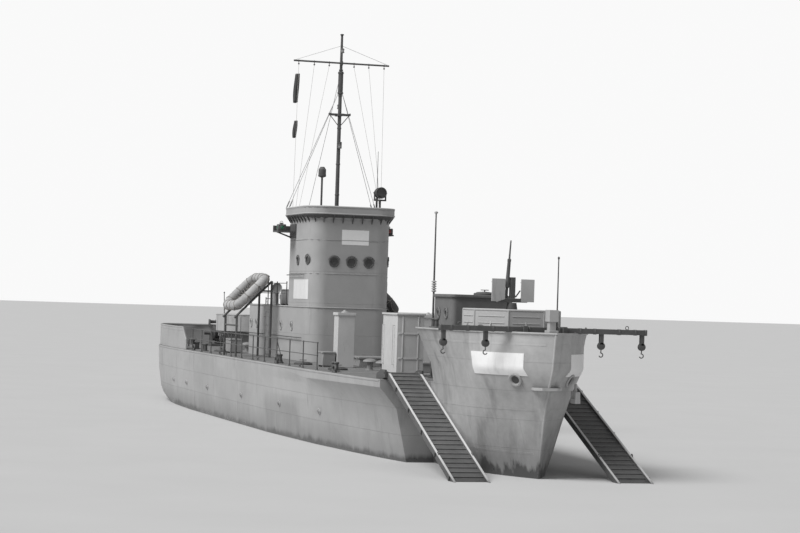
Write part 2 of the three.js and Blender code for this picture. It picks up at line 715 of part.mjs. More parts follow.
function raftRack() {
  const r = RAFT;
  const slope = Math.atan2(r.innerZ - r.outerZ, r.outerY - r.innerY);
  const drop = (r.tube + 0.05) / Math.cos(slope);
  const parts = [];
  const z0 = MAIN_DECK_Z + GAP;
  const ends = [r.x0 + 0.35, r.x1 - 0.35];
  const bar = 0.045;
  for (const x of ends) {
    const inner = [x, r.innerY - 0.1, r.innerZ - drop + 0.09];
    const outer = [x, r.outerY - 0.02, r.outerZ - drop];
    parts.push(rod(inner, outer, bar));
    parts.push(rod([x, r.innerY - 0.1, z0], [x, r.innerY - 0.1, r.innerZ - drop + 0.1], bar));
    parts.push(rod([x, r.outerY - 0.12, z0], [x, r.outerY - 0.12, r.outerZ - drop + 0.09], bar));
  }
  const inboard = [r.innerY - 0.1, r.innerZ - drop - 0.3];
  const outboard = [r.outerY - 0.12, r.outerZ - drop - 0.3];
  for (const [y, z] of [inboard, outboard]) {
    parts.push(rod([ends[0] - 0.1, y, z], [ends[1] + 0.1, y, z], bar * 0.8));
  }
  return join(parts);
}

// Stern

function sternBulwark() {
  const b = BULWARK;
  const sections = HULL_SECTIONS.filter((s) => s.x < b.foreX + 2);
  const starboard = sections.map((s) => [s.x, -s.deckY]);
  const path = [...starboard.slice().reverse(), ...sections.map((s) => [s.x, s.deckY])];
  const z0 = MAIN_DECK_Z + GAP;
  const offset = (distance) => path.map(([x, y], i) => {
    const before = path[Math.max(i - 1, 0)];
    const after = path[Math.min(i + 1, path.length - 1)];
    const along = new THREE.Vector2(after[0] - before[0], after[1] - before[1]).normalize();
    return [x + along.y * distance, y - along.x * distance];
  });
  const outer = offset(b.inset);
  const inner = offset(b.inset + b.wall);
  const wall = plan([...outer, ...inner.reverse()], z0, b.topZ);
  const foreEnd = sideProfile([
    [b.foreX, z0 - 0.1],
    [b.foreX + 3, z0 - 0.1],
    [b.foreX + 3, b.topZ + 0.1],
    [b.levelX, b.topZ + 0.1],
    [b.levelX, b.topZ],
    [b.foreX, b.foreTopZ],
  ], -4, 4);
  return cut(wall, [foreEnd]);
}

function aftPlatform() {
  const p = AFT_PLATFORM;
  const z0 = MAIN_DECK_Z + GAP;
  const height = p.topZ - z0;
  const outline = [
    [0, 0],
    [p.radius, 0],
    [p.radius, height - 0.18],
    [p.topR, height - 0.06],
    [p.topR, height],
    [0, height],
  ];
  return turned(outline, p.x, 0, z0);
}

function sternWinch() {
  const w = WINCH;
  const z0 = MAIN_DECK_Z + GAP;
  const axisZ = z0 + 0.6;
  const parts = [
    block(w.x - 0.7, w.x + 0.6, -w.halfY - 0.15, w.halfY + 0.15, z0, z0 + 0.1),
    rod([w.x, -w.halfY - 0.35, axisZ], [w.x, w.halfY + 0.35, axisZ], 0.08, 0.08, 12),
    rod([w.x, -w.halfY + 0.1, axisZ], [w.x, w.halfY - 0.1, axisZ], w.drumR - 0.1, w.drumR - 0.1, 16),
    block(w.x - 0.65, w.x - 0.45, -0.45, 0.45, z0 + 0.05, z0 + 0.7),
    block(w.x - 0.5, w.x, -0.1, 0.1, z0 + 0.35, z0 + 0.5),
  ];
  for (const y of [-0.6, 0.6]) {
    parts.push(rod([w.x, y - 0.03, axisZ], [w.x, y + 0.03, axisZ], w.drumR, w.drumR, 20));
  }
  for (const side of [-1, 1]) {
    const y = side * (w.halfY + 0.02);
    parts.push(sideProfile([
      [w.x - 0.3, z0 + 0.05],
      [w.x + 0.3, z0 + 0.05],
      [w.x + 0.12, axisZ + 0.12],
      [w.x - 0.12, axisZ + 0.12],
    ], y - 0.04, y + 0.04));
  }
  return join(parts);
}

function railing() {
  const r = RAIL;
  const z0 = MAIN_DECK_Z + GAP;
  const step = (r.x1 - r.x0) / (r.count - 1);
  const parts = [];
  for (let i = 0; i < r.count; i += 1) {
    const x = r.x0 + i * step;
    parts.push(rod([x, r.y, z0], [x, r.y, z0 + r.height], r.post, r.post, 6));
  }
  for (const height of [0.5, 0.93]) {
    parts.push(rod([r.x0 - 0.03, r.y, z0 + height], [r.x1 + 0.03, r.y, z0 + height], r.rail, r.rail, 6));
  }
  return join(parts);
}

// Running gear

function shaft() {
  const s = SHAFT;
  const line = rod([s.x0, s.y, s.z], [s.x1, s.y, s.z], s.radius, s.radius, 12);
  const boss = rod([s.x0 + 0.1, s.y, s.z], [s.x0 + 0.55, s.y, s.z], s.radius + 0.05, s.radius + 0.05, 12);
  const [aftX, foreX] = [s.strutX - 0.17, s.strutX + 0.17];
  const strut = sideProfile([
    [aftX - 0.08, s.z],
    [foreX - 0.08, s.z],
    [foreX, keelAt(foreX) - GAP],
    [aftX, keelAt(aftX) - GAP],
  ], s.y - 0.03, s.y + 0.03);
  return join([line, boss, strut]);
}

function propeller() {
  const p = PROPELLER;
  const [hubAft, hubFore] = [p.x - p.hubLength / 2, p.x + p.hubLength / 2 - 0.05];
  const hub = rod([hubAft, 0, 0], [hubFore, 0, 0], p.hubR * 0.6, p.hubR, 16);
  const parts = [hub];
  for (let i = 0; i < p.blades; i += 1) {
    const outline = [
      [-0.05, 0.05],
      [0.05, 0.05],
      [0.17, 0.3],
      [0.13, 0.5],
      [0.0, p.radius],
      [-0.13, 0.5],
      [-0.17, 0.3],
    ];
    const blade = sideProfile(outline, -0.018, 0.018);
    blade.rotateZ(THREE.MathUtils.degToRad(55));
    blade.translate(p.x, 0, 0);
    blade.rotateX((i / p.blades) * 2 * Math.PI + Math.PI / 4);
    parts.push(blade);
  }
  return join(parts).translate(0, SHAFT.y, SHAFT.z);
}

function rudder() {
  const r = RUDDER;
  const blade = plan([
    [r.x0, SHAFT.y - 0.015],
    [r.x0, SHAFT.y + 0.015],
    [r.stockX, SHAFT.y + r.thick / 2],
    [r.x1 - 0.05, SHAFT.y + r.thick / 2],
    [r.x1, SHAFT.y],
    [r.x1 - 0.05, SHAFT.y - r.thick / 2],
    [r.stockX, SHAFT.y - r.thick / 2],
  ].reverse(), r.z0, r.z1);
  const stockFoot = [r.stockX, SHAFT.y, r.z1 - 0.1];
  const stockHead = [r.stockX, SHAFT.y, r.stockTopZ];
  const stock = rod(stockFoot, stockHead, r.stockR, r.stockR, 12);
  return join([blade, stock]);
}

// Assembly

function build() {
  const craft = new THREE.Group();
  const finish = Object.fromEntries(Object.entries(COLOURS).map(([name, color]) => [
    name,
    new THREE.MeshStandardMaterial({ name, color }),
  ]));
  const add = (name, geometry, material) => {
    const body = geometry.clone();
    body.deleteAttribute('normal');
    body.deleteAttribute('uv');
    body.translate(-MID_LENGTH_X, 0, 0);
    body.scale(MM_PER_METRE, MM_PER_METRE, MM_PER_METRE);
    const mesh = new THREE.Mesh(mergeVertices(body, 1e-3), finish[material]);
    mesh.geometry.computeVertexNormals();
    mesh.name = name;
    craft.add(mesh);
  };
  const pair = (name, geometry, material) => {
    add(`${name}_port`, geometry, material);
    add(`${name}_starboard`, mirrored(geometry), material);
  };

  add('hull', hull(), 'hull');
  add('bow', bow(), 'hull');
  add('bow_tub', tub(TUB, FORECASTLE_Z), 'deck');
  add('bow_mount_base', mountBase(TUB, FORECASTLE_Z), 'fitting');
  add('bow_mount_head', mountHead(TUB, FORECASTLE_Z), 'fitting');
  add('stem_post', stemPost(), 'fitting');
  add('bow_anchor', anchor(), 'fitting');
  add('ramp_beam', rampBeam(), 'fitting');
  pair('ramp', ramp(), 'ramp');
  pair('ramp_sill', rampSill(), 'fitting');
  add('forward_house', forwardHouse(), 'deck');
  add('whip_pole', whipPole(), 'fitting');
  pair('companionway', companionway(), 'deck');
  pair('companionway_door', companionDoor(), 'deck');
  pair('vent_trunk', ventTrunk(), 'deck');
  add('deckhouse', deckhouse(), 'hull');
  pair('deckhouse_door', houseDoor(), 'deck');
  add('conning_tower', tower(), 'hull');
  add('bridge', bridge(), 'hull');
  pair('sidelight_screen', sidelightScreen(), 'fitting');
  add('mast', mast(), 'fitting');
  add('searchlight', searchlight(), 'fitting');
  add('signal_post', signalPost(), 'fitting');
  pair('raft', raft(), 'raft');
  pair('raft_rack', raftRack(), 'fitting');
  add('stern_bulwark', sternBulwark(), 'hull');
  add('aft_platform', aftPlatform(), 'deck');
  add('aft_tub', tub(AFT_TUB, AFT_PLATFORM.topZ), 'deck');
  add('stern_winch', sternWinch(), 'fitting');
  pair('railing', railing(), 'fitting');
  pair('propeller_shaft', shaft(), 'underwater');
  pair('propeller', propeller(), 'bronze');
  pair('rudder', rudder(), 'underwater');
  return craft;
}

export default build();
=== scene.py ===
"""Looks of a half-scale infantry landing craft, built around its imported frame.

Sizes are in metres of the full-size craft: x runs forward from the stem foot, y to port
and z up from the waterline. Forms are turned into the frame's half-scale metres when a
piece is made from them.
"""

import logging
from collections.abc import Callable, Iterable, Sequence
from dataclasses import dataclass, field
from enum import Enum
from math import atan2, cos, dist, pi, radians, sin
from typing import Any

import bmesh
import bpy
from mathutils import Matrix, Vector
from mathutils.bvhtree import BVHTree


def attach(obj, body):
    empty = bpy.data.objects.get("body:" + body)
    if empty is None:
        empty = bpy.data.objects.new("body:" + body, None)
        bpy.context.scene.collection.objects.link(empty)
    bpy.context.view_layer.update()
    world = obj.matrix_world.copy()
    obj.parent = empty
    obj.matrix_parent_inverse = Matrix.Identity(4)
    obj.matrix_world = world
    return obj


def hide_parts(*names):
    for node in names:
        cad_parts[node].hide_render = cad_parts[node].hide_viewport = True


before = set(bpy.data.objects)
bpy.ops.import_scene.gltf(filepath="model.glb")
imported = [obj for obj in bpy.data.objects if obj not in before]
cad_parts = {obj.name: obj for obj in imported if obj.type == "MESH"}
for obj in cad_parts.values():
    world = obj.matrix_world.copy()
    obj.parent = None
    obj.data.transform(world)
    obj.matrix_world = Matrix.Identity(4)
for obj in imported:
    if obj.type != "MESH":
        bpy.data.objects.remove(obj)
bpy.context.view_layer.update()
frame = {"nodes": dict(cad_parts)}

LOG = logging.getLogger("landing_craft")

SCALE = 0.5
MID_LENGTH = 23.1
MAIN_DECK_Z = 2.55
FORECASTLE_Z = 4.2
HOUSE_ROOF_Z = 4.65
SHARP_ANGLE = radians(38)
NEARLY_UPRIGHT = 0.9
SKIN_SINK = 0.01

Node = bpy.types.Node
Pair = tuple[float, float]
Spot = tuple[float, float, float]
Row = tuple[float, ...]
Point = Sequence[float]
Profile = Sequence[Pair]
Colour = Spot
NO_TURN = Matrix.Identity(3)
UP = Vector((0, 0, 1))
FORWARD = Vector((1, 0, 0))


class Side(Enum):
    """The two sides of the craft, as the sign of y."""

    PORT = 1
    STARBOARD = -1

    @property
    def label(self) -> str:
        """The side's name in piece names."""
        return self.name.lower()

    @property
    def out(self) -> Vector:
        """The way outboard."""
        return Vector((0, self.value, 0))

    @property
    def mirror(self) -> Matrix:
        """What takes a form drawn for the port side to this side."""
        return Matrix.Diagonal((1, self.value, 1))

    def point(self, x: float, y: float, z: float) -> Vector:
        """A point given for the port side, on this side."""
        return Vector((x, y * self.value, z))


class Slot(Enum):
    """Material slots of the record."""

    HULL = "hull_grey"
    DECK = "deck_grey"
    RAMP = "ramp_grey"
    FITTING = "dark_fitting"
    RAFT = "raft_canvas"
    BRONZE = "bronze"
    BOTTOM = "bottom_paint"


class Effect(Enum):
    """Shader effects that several finishes share."""

    PATCHES = "Paint patches"
    RUNS = "Vertical runs"
    EDGE_WEAR = "Edge wear"
    GRAIN = "Fine grain"
    WATERLINE = "Wetted band"
    UPWARD = "Upward faces"
    SEAMS = "Plate seams"
    REPAINT = "Repainted part"


def grey(value: float, warmth: float = 0.0) -> Colour:
    """A linear grey, warmer where the warmth is above zero."""
    return (value * (1 + warmth), value, value * (1 - warmth))


class Wire:
    """A shader socket that can stand in sums and products."""

    def __init__(self, graph: "Graph", socket: bpy.types.NodeSocket) -> None:
        """Keeps the socket and the graph it is in."""
        self.graph = graph
        self.socket = socket

    def __add__(self, other: Any) -> "Wire":
        """The sum."""
        return self.graph.math("ADD", self, other)

    def __sub__(self, other: Any) -> "Wire":
        """The difference."""
        return self.graph.math("SUBTRACT", self, other)

    def __rsub__(self, other: Any) -> "Wire":
        """A number less this."""
        return self.graph.math("SUBTRACT", other, self)

    def __mul__(self, other: Any) -> "Wire":
        """The product."""
        return self.graph.math("MULTIPLY", self, other)

    def __rmul__(self, other: Any) -> "Wire":
        """A number times this."""
        return self.graph.math("MULTIPLY", other, self)

    def __truediv__(self, other: Any) -> "Wire":
        """The quotient."""
        return self.graph.math("DIVIDE", self, other)

    def __rtruediv__(self, other: Any) -> "Wire":
        """A number divided by this."""
        return self.graph.math("DIVIDE", other, self)


class Graph:
    """Adds nodes to a node tree in few words."""

    def __init__(self, tree: bpy.types.NodeTree) -> None:
        """Keeps the tree to add to."""
        self.tree = tree

    def set(self, node: Node, key: Any, value: Any) -> None:
        """Links a wire to a node's input, or sets the input to a value."""
        if isinstance(value, Wire):
            self.tree.links.new(value.socket, node.inputs[key])
        else:
            node.inputs[key].default_value = value

    def node(self, kind: str, inputs: dict[Any, Any] | None = None, **settings: Any) -> Node:
        """Adds a node.

        Args:
            kind: Blender's node type.
            inputs: Values or wires for the node's inputs, by name or number.
            **settings: Other settings of the node.

        Returns:
            The new node.
        """
        node = self.tree.nodes.new(kind)
        for name, value in settings.items():
            setattr(node, name, value)
        for key, value in (inputs or {}).items():
            self.set(node, key, value)
        return node

    def out(self, kind: str, inputs: dict[Any, Any] | None = None, key: Any = 0, **settings: Any) -> Wire:
        """Adds a node and gives the output named or numbered by the key."""
        return Wire(self, self.node(kind, inputs, **settings).outputs[key])

    def math(self, operation: str, *values: Any) -> Wire:
        """The result of one arithmetic step on values or wires."""
        return self.out("ShaderNodeMath", dict(enumerate(values)), operation=operation)

    def wave(self, value: Wire) -> Wire:
        """A row of round ridges, from 0 to 1."""
        return self.math("ABSOLUTE", self.math("SINE", value))

    def spread(
        self, value: Wire, low: Any = 0.0, high: Any = 1.0, to_low: float = 0.0, to_high: float = 1.0
    ) -> Wire:
        """Maps a range of a value onto another, held at its ends."""
        return self.out("ShaderNodeMapRange", {0: value, 1: low, 2: high, 3: to_low, 4: to_high})

    def mix(self, share: Any, first: Any, second: Any, blend: str = "MIX") -> Wire:
        """Mixes two colours."""
        node = self.node("ShaderNodeMix", data_type="RGBA", blend_type=blend)
        self.set(node, 0, share)
        for key, colour in ((6, first), (7, second)):
            self.set(node, key, colour if isinstance(colour, Wire) else (*colour, 1.0))
        return Wire(self, node.outputs[2])

    def lay(self, under: Any, over: Any, mask: Wire, share: float, blend: str = "MIX") -> Wire:
        """Lays one colour over another where a mask shows, at a share of its strength."""
        return self.mix(mask * share, under, over, blend)

    def noise(self, vector: Wire, scale: Any, detail: float = 4.0, roughness: float = 0.55) -> Wire:
        """Noise from 0 to 1."""
        inputs = {"Vector": vector, "Scale": scale, "Detail": detail, "Roughness": roughness}
        return self.out("ShaderNodeTexNoise", inputs)

    def place(self) -> Wire:
        """The place on the piece at rest, in metres of the frame."""
        return self.out("ShaderNodeTexCoord", key="Object")

    def scaled(self, vector: Wire, scale: Point) -> Wire:
        """A place stretched by a factor for each axis."""
        return self.out("ShaderNodeVectorMath", {0: vector, 1: scale}, operation="MULTIPLY")

    def split(self, vector: Wire) -> tuple[Wire, ...]:
        """The three parts of a vector."""
        return tuple(self.wires(self.node("ShaderNodeSeparateXYZ", {0: vector})).values())

    def wires(self, node: Node) -> dict[str, Wire]:
        """A node's outputs by name."""
        return {socket.name: Wire(self, socket) for socket in node.outputs}


Wires = dict[str, Wire]
Maker = tuple[dict[str, float], list[str], Callable[[Graph, Wires], list[Wire]]]


class EffectLibrary:
    """Builds each shared effect once, as a shader node group."""

    def __init__(self) -> None:
        """Starts with no groups made."""
        self.made: dict[Effect, bpy.types.NodeTree] = {}
        ends = {"Aft": 0.0, "Fore": 1.0, "Foot": 0.0, "Head": 1.0, "Soft": 0.05}
        self.makers: dict[Effect, Maker] = {
            Effect.PATCHES: ({"Size": 1.0, "Contrast": 1.0}, ["Mask"], self._patches),
            Effect.RUNS: ({"Width": 0.06, "Length": 0.8, "Cover": 0.4}, ["Mask"], self._runs),
            Effect.EDGE_WEAR: ({"Radius": 0.01, "Cover": 0.5}, ["Mask"], self._edge_wear),
            Effect.GRAIN: ({"Scale": 60.0}, ["Height", "Mask"], self._grain),
            Effect.WATERLINE: ({"Top": 0.16, "Ragged": 0.08}, ["Wet", "Scum"], self._waterline),
            Effect.UPWARD: ({}, ["Mask"], self._upward),
            Effect.REPAINT: (ends, ["Mask"], self._repaint),
            Effect.SEAMS: ({"Pitch": 0.9, "Row": 0.42, "Width": 0.006}, ["Mask", "Plate"], self._seams),
        }

    def group(self, effect: Effect) -> bpy.types.NodeTree:
        """The group of an effect, made when first asked for."""
        if effect in self.made:
            return self.made[effect]
        inputs, outputs, maker = self.makers[effect]
        tree = bpy.data.node_groups.new(effect.value, "ShaderNodeTree")
        for name, value in inputs.items():
            socket = tree.interface.new_socket(name=name, in_out="INPUT", socket_type="NodeSocketFloat")
            socket.default_value = value
        for name in outputs:
            tree.interface.new_socket(name=name, in_out="OUTPUT", socket_type="NodeSocketFloat")
        graph = Graph(tree)
        entry = graph.wires(graph.node("NodeGroupInput"))
        graph.node("NodeGroupOutput", dict(enumerate(maker(graph, entry))))
        self.made[effect] = tree
        return tree

    def use(self, graph: Graph, effect: Effect, **values: float) -> Wires:
        """Places an effect in a material."""
        node = graph.node("ShaderNodeGroup", node_tree=self.group(effect))
        for name, value in values.items():
            node.inputs[name.capitalize()].default_value = value
        return graph.wires(node)

    @staticmethod
    def _patches(graph: Graph, entry: Wires) -> list[Wire]:
        """Soft patches of older and newer paint."""
        place = graph.place()
        scale = 1.0 / entry["Size"]
        broad = graph.noise(place, scale, 5.0, 0.6)
        fine = graph.noise(place, scale * 5.3, 4.0, 0.65)
        raised = (broad * 0.65 + fine * 0.35 - 0.5) * (entry["Contrast"] * 5.0)
        return [graph.spread(raised + 0.5)]

    @staticmethod
    def _runs(graph: Graph, entry: Wires) -> list[Wire]:
        """Streaks that run down from edges."""
        x, y, z = graph.split(graph.place())
        across = 1.0 / entry["Width"]
        down = 1.0 / entry["Length"]
        place = graph.out("ShaderNodeCombineXYZ", {0: x * across, 1: y * across, 2: z * down})
        fine = graph.noise(place, 1.0, 3.0, 0.6)
        broad = graph.noise(graph.place(), 1.1, 3.0, 0.5)
        level = fine * 0.7 + broad * 0.45
        start = 0.80 - entry["Cover"] * 0.34
        return [graph.spread((level - start) * 6.0)]

    @staticmethod
    def _edge_wear(graph: Graph, entry: Wires) -> list[Wire]:
        """Edges where paint is rubbed through."""
        rounded = graph.out("ShaderNodeBevel", {"Radius": entry["Radius"]}, samples=4)
        normal = graph.out("ShaderNodeNewGeometry", key="Normal")
        dot = graph.out("ShaderNodeVectorMath", {0: rounded, 1: normal}, "Value", operation="DOT_PRODUCT")
        edge = graph.spread(1.0 - dot, 0.02, 0.22)
        noise = graph.noise(graph.place(), 14.0, 5.0, 0.7)
        return [edge * graph.spread(noise + entry["Cover"] * 0.5, 0.55, 0.8)]

    @staticmethod
    def _grain(graph: Graph, entry: Wires) -> list[Wire]:
        """Fine brush and roller grain."""
        noise = graph.noise(graph.place(), entry["Scale"], 3.0, 0.6)
        slow = graph.noise(graph.place(), entry["Scale"] * 0.12, 2.0, 0.5)
        return [noise * 0.6 + slow * 0.6, graph.spread(noise, 0.35, 0.65)]

    @staticmethod
    def _waterline(graph: Graph, entry: Wires) -> list[Wire]:
        """A wet band just above the waterline, with scum over it."""
        place = graph.place()
        height = graph.split(place)[2]
        noise = graph.noise(graph.scaled(place, (1.6, 1.6, 0.35)), 1.7, 5.0, 0.65)
        lift = (noise - 0.5) * (entry["Ragged"] * 6.0)
        level = height - lift - entry["Top"]
        wet = graph.spread(level, 0.03, -0.05)
        return [wet, graph.spread(level, 0.34, 0.0) * (1.0 - wet)]

    @staticmethod
    def _upward(graph: Graph, entry: Wires) -> list[Wire]:
        """Faces that look up."""
        normal = graph.out("ShaderNodeTexCoord", key="Normal")
        return [graph.spread(graph.split(normal)[2], 0.6, 0.85)]

    @staticmethod
    def _seams(graph: Graph, entry: Wires) -> list[Wire]:
        """Welded seams between plates, and a tone of its own for each plate."""
        x, _, z = graph.split(graph.place())
        row = graph.math("FLOOR", z / entry["Row"])
        shifted = x / entry["Pitch"] + row * 0.37
        lines = []
        for value, pitch in ((shifted, entry["Pitch"]), (z / entry["Row"], entry["Row"])):
            offset = graph.math("ABSOLUTE", graph.math("FRACT", value) - 0.5)
            lines.append(graph.math("LESS_THAN", (0.5 - offset) * pitch, entry["Width"]))
        cell = graph.out("ShaderNodeCombineXYZ", {0: graph.math("FLOOR", shifted), 1: row, 2: 0.0})
        tone = graph.out("ShaderNodeTexWhiteNoise", {"Vector": cell}, "Value")
        return [graph.math("MAXIMUM", *lines), tone]

    @staticmethod
    def _repaint(graph: Graph, entry: Wires) -> list[Wire]:
        """A part of the sides painted over at another time."""
        place = graph.place()
        x, _, z = graph.split(place)
        shift = (graph.noise(graph.scaled(place, (3.0, 3.0, 1.0)), 1.3) - 0.5) * entry["Soft"]
        less = entry["Soft"] * -1.0
        mask: Any = 1.0
        for value, low, high in ((x, "Aft", "Fore"), (z, "Foot", "Head")):
            moved = value + shift * 3.0
            for edge, sign in ((low, 1), (high, -1)):
                mask = mask * graph.spread((moved - entry[edge]) * sign, less, entry["Soft"])
        return [mask]


EFFECTS = EffectLibrary()


@dataclass(frozen=True)
class Finish:
    """A finish, made into a material when it is first used."""

    name: str
    slot: Slot

    def material(self) -> bpy.types.Material:
        """The finish's material, made once."""
        found = bpy.data.materials.get(self.name)
        if found is not None:
            return found
        material = bpy.data.materials.new(self.name)
        material.use_nodes = True
        material.node_tree.nodes.clear()
        graph = Graph(material.node_tree)
        shader = graph.node("ShaderNodeBsdfPrincipled")
        graph.node("ShaderNodeOutputMaterial", {"Surface": Wire(graph, shader.outputs[0])})
        self.paint(graph, shader)
        return material

    def paint(self, graph: Graph, shader: Node) -> None:
        """Sets the shader up; each kind of finish does this its own way."""
        raise NotImplementedError

    @staticmethod
    def bump(graph: Graph, shader: Node, height: Wire, distance: float) -> None:
        """Raises the surface by a height, as far as the distance in metres where it is one."""
        inputs = {"Strength": 0.6, "Distance": distance, "Height": height}
        graph.set(shader, "Normal", graph.out("ShaderNodeBump", inputs))

    @staticmethod
    def feed(graph: Graph, shader: Node, colour: Wire, roughness: Wire | None = None) -> None:
        """Links the shader's colour and roughness."""
        graph.set(shader, "Base Color", colour)
        if roughness is not None:
            graph.set(shader, "Roughness", roughness)


@dataclass(frozen=True)
class Paint(Finish):
    """Matt paint on steel that has been at sea."""

    colour: Colour = grey(0.3)
    patch: Colour = grey(0.36)
    patch_share: float = 0.6
    patch_size: float = 1.0
    stain: Colour = grey(0.09)
    run_share: float = 0.35
    run_cover: float = 0.4
    run_length: float = 0.8
    run_width: float = 0.07
    deck: Colour = grey(0.16)
    deck_share: float = 0.0
    wear: Colour = grey(0.5)
    wear_share: float = 0.5
    seam_share: float = 0.0
    row: float = 0.42
    pitch: float = 0.9
    wet_top: float = 0.0
    wet_ragged: float = 0.05
    roughness: float = 0.62
    marks: tuple[Row, ...] = ()

    def paint(self, graph: Graph, shader: Node) -> None:
        """Layers patches, seams, runs, wear and wet over the base colour."""
        patches = EFFECTS.use(graph, Effect.PATCHES, size=self.patch_size)["Mask"]
        grain = EFFECTS.use(graph, Effect.GRAIN, scale=70.0)
        colour = graph.lay(self.colour, self.patch, patches, self.patch_share)
        for aft, fore, foot, head, tone, share, soft in self.marks:
            mark = EFFECTS.use(graph, Effect.REPAINT, aft=aft, fore=fore, foot=foot, head=head, soft=soft)
            colour = graph.lay(colour, grey(tone), mark["Mask"], share)
        height = grain["Height"] * 0.35
        if self.seam_share:
            seams = EFFECTS.use(graph, Effect.SEAMS, pitch=self.pitch, row=self.row)
            colour = graph.lay(colour, self.patch, graph.spread(seams["Plate"]), self.seam_share * 0.5)
            colour = graph.lay(colour, self.stain, seams["Mask"], self.seam_share)
            height = height + seams["Mask"] * 0.8
        if self.deck_share:
            upward = EFFECTS.use(graph, Effect.UPWARD)["Mask"]
            worn = graph.lay(self.deck, tuple(c * 1.5 for c in self.deck), patches, 0.5)
            colour = graph.lay(colour, worn, upward, self.deck_share)
        sizes = {"width": self.run_width, "length": self.run_length, "cover": self.run_cover}
        runs = EFFECTS.use(graph, Effect.RUNS, **sizes)["Mask"]
        colour = graph.lay(colour, self.stain, runs, self.run_share)
        edge = EFFECTS.use(graph, Effect.EDGE_WEAR, radius=0.012, cover=0.45)["Mask"]
        colour = graph.lay(colour, self.wear, edge, self.wear_share)
        rough = graph.spread(patches, 0.0, 1.0, self.roughness - 0.08, self.roughness + 0.12)
        if self.wet_top:
            water = EFFECTS.use(graph, Effect.WATERLINE, top=self.wet_top, ragged=self.wet_ragged)
            colour = graph.lay(colour, self.stain, water["Scum"], 0.45)
            colour = graph.lay(colour, grey(0.045), water["Wet"], 0.9)
            rough = rough - water["Wet"] * 0.3
        self.feed(graph, shader, colour, rough)
        self.bump(graph, shader, height, 0.006)


@dataclass(frozen=True)
class Cloth(Finish):
    """Canvas or bunting with a plain weave."""

    colour: Colour = grey(0.4)
    shade: Colour = grey(0.2)
    weave: float = 220.0
    roughness: float = 0.85

    def paint(self, graph: Graph, shader: Node) -> None:
        """Crosses two sets of threads and soils the cloth."""
        x, y, z = graph.split(graph.scaled(graph.place(), (self.weave,) * 3))
        threads = (graph.wave(x + y) + graph.wave(z * 1.4)) * 0.5
        soil = EFFECTS.use(graph, Effect.PATCHES, size=0.35, contrast=1.2)["Mask"]
        grain = EFFECTS.use(graph, Effect.GRAIN, scale=40.0)["Mask"]
        colour = graph.lay(self.colour, self.shade, soil, 0.6)
        colour = graph.lay(colour, self.shade, grain, 0.18)
        colour = graph.lay(colour, self.shade, threads, 0.25, "MULTIPLY")
        self.feed(graph, shader, colour, graph.spread(soil, 0.0, 1.0, self.roughness, self.roughness - 0.12))
        self.bump(graph, shader, threads, 0.002)


@dataclass(frozen=True)
class Timber(Finish):
    """Weathered slats with grain along x."""

    colour: Colour = (0.185, 0.178, 0.168)
    shade: Colour = (0.085, 0.081, 0.077)

    def paint(self, graph: Graph, shader: Node) -> None:
        """Stretches noise along the slats for the grain."""
        lines = graph.noise(graph.scaled(graph.place(), (3.0, 90.0, 90.0)), 1.0, 6.0, 0.7)
        soil = EFFECTS.use(graph, Effect.PATCHES, size=0.3)["Mask"]
        colour = graph.mix(graph.spread(lines, 0.35, 0.7), self.colour, self.shade)
        colour = graph.lay(colour, self.shade, soil, 0.4)
        self.feed(graph, shader, colour, graph.spread(lines, 0.3, 0.7, 0.7, 0.9))
        self.bump(graph, shader, lines, 0.003)


@dataclass(frozen=True)
class Rope(Finish):
    """Laid rope or wire with a twist."""

    colour: Colour = grey(0.3, 0.06)
    shade: Colour = grey(0.1)
    twist: float = 160.0
    metallic: float = 0.0

    def paint(self, graph: Graph, shader: Node) -> None:
        """Runs the strands aslant round the rope."""
        x, y, z = graph.split(graph.place())
        strand = graph.wave((x + y * 1.3 + z * 0.8) * self.twist)
        soil = EFFECTS.use(graph, Effect.PATCHES, size=0.2)["Mask"]
        colour = graph.mix(graph.spread(strand, 0.5, 0.0), self.colour, self.shade)
        colour = graph.lay(colour, self.shade, soil, 0.4)
        shader.inputs["Metallic"].default_value = self.metallic
        self.feed(graph, shader, colour, graph.spread(strand, 0.0, 1.0, 0.85, 0.65))
        self.bump(graph, shader, strand, 0.003)


@dataclass(frozen=True)
class Metal(Finish):
    """Bare metal, dulled by the sea."""

    colour: Colour = (0.36, 0.24, 0.11)
    tarnish: Colour = (0.10, 0.12, 0.09)
    tarnish_share: float = 0.6
    roughness: float = 0.38

    def paint(self, graph: Graph, shader: Node) -> None:
        """Spreads tarnish in patches and polishes the edges."""
        patches = EFFECTS.use(graph, Effect.PATCHES, size=0.18, contrast=1.3)["Mask"]
        grain = EFFECTS.use(graph, Effect.GRAIN, scale=120.0)
        edge = EFFECTS.use(graph, Effect.EDGE_WEAR, radius=0.008, cover=0.7)["Mask"]
        colour = graph.lay(self.colour, self.tarnish, patches, self.tarnish_share)
        colour = graph.lay(colour, self.colour, edge, 0.6)
        shader.inputs["Metallic"].default_value = 0.85
        self.feed(graph, shader, colour, graph.spread(patches, 0.0, 1.0, self.roughness, 0.7))
        self.bump(graph, shader, grain["Height"], 0.002)


@dataclass(frozen=True)
class Pane(Finish):
    """Thick porthole or lamp glass, seen over a dark inside."""

    colour: Colour = grey(0.02)
    glow: Colour = grey(0.05)
    roughness: float = 0.12

    def paint(self, graph: Graph, shader: Node) -> None:
        """Salts the glass with a dried film."""
        film = EFFECTS.use(graph, Effect.PATCHES, size=0.08)["Mask"]
        colour = graph.lay(self.colour, self.glow, film, 0.5)
        shader.inputs["Coat Weight"].default_value = 0.6
        self.feed(graph, shader, colour, graph.spread(film, 0.0, 1.0, self.roughness, 0.4))


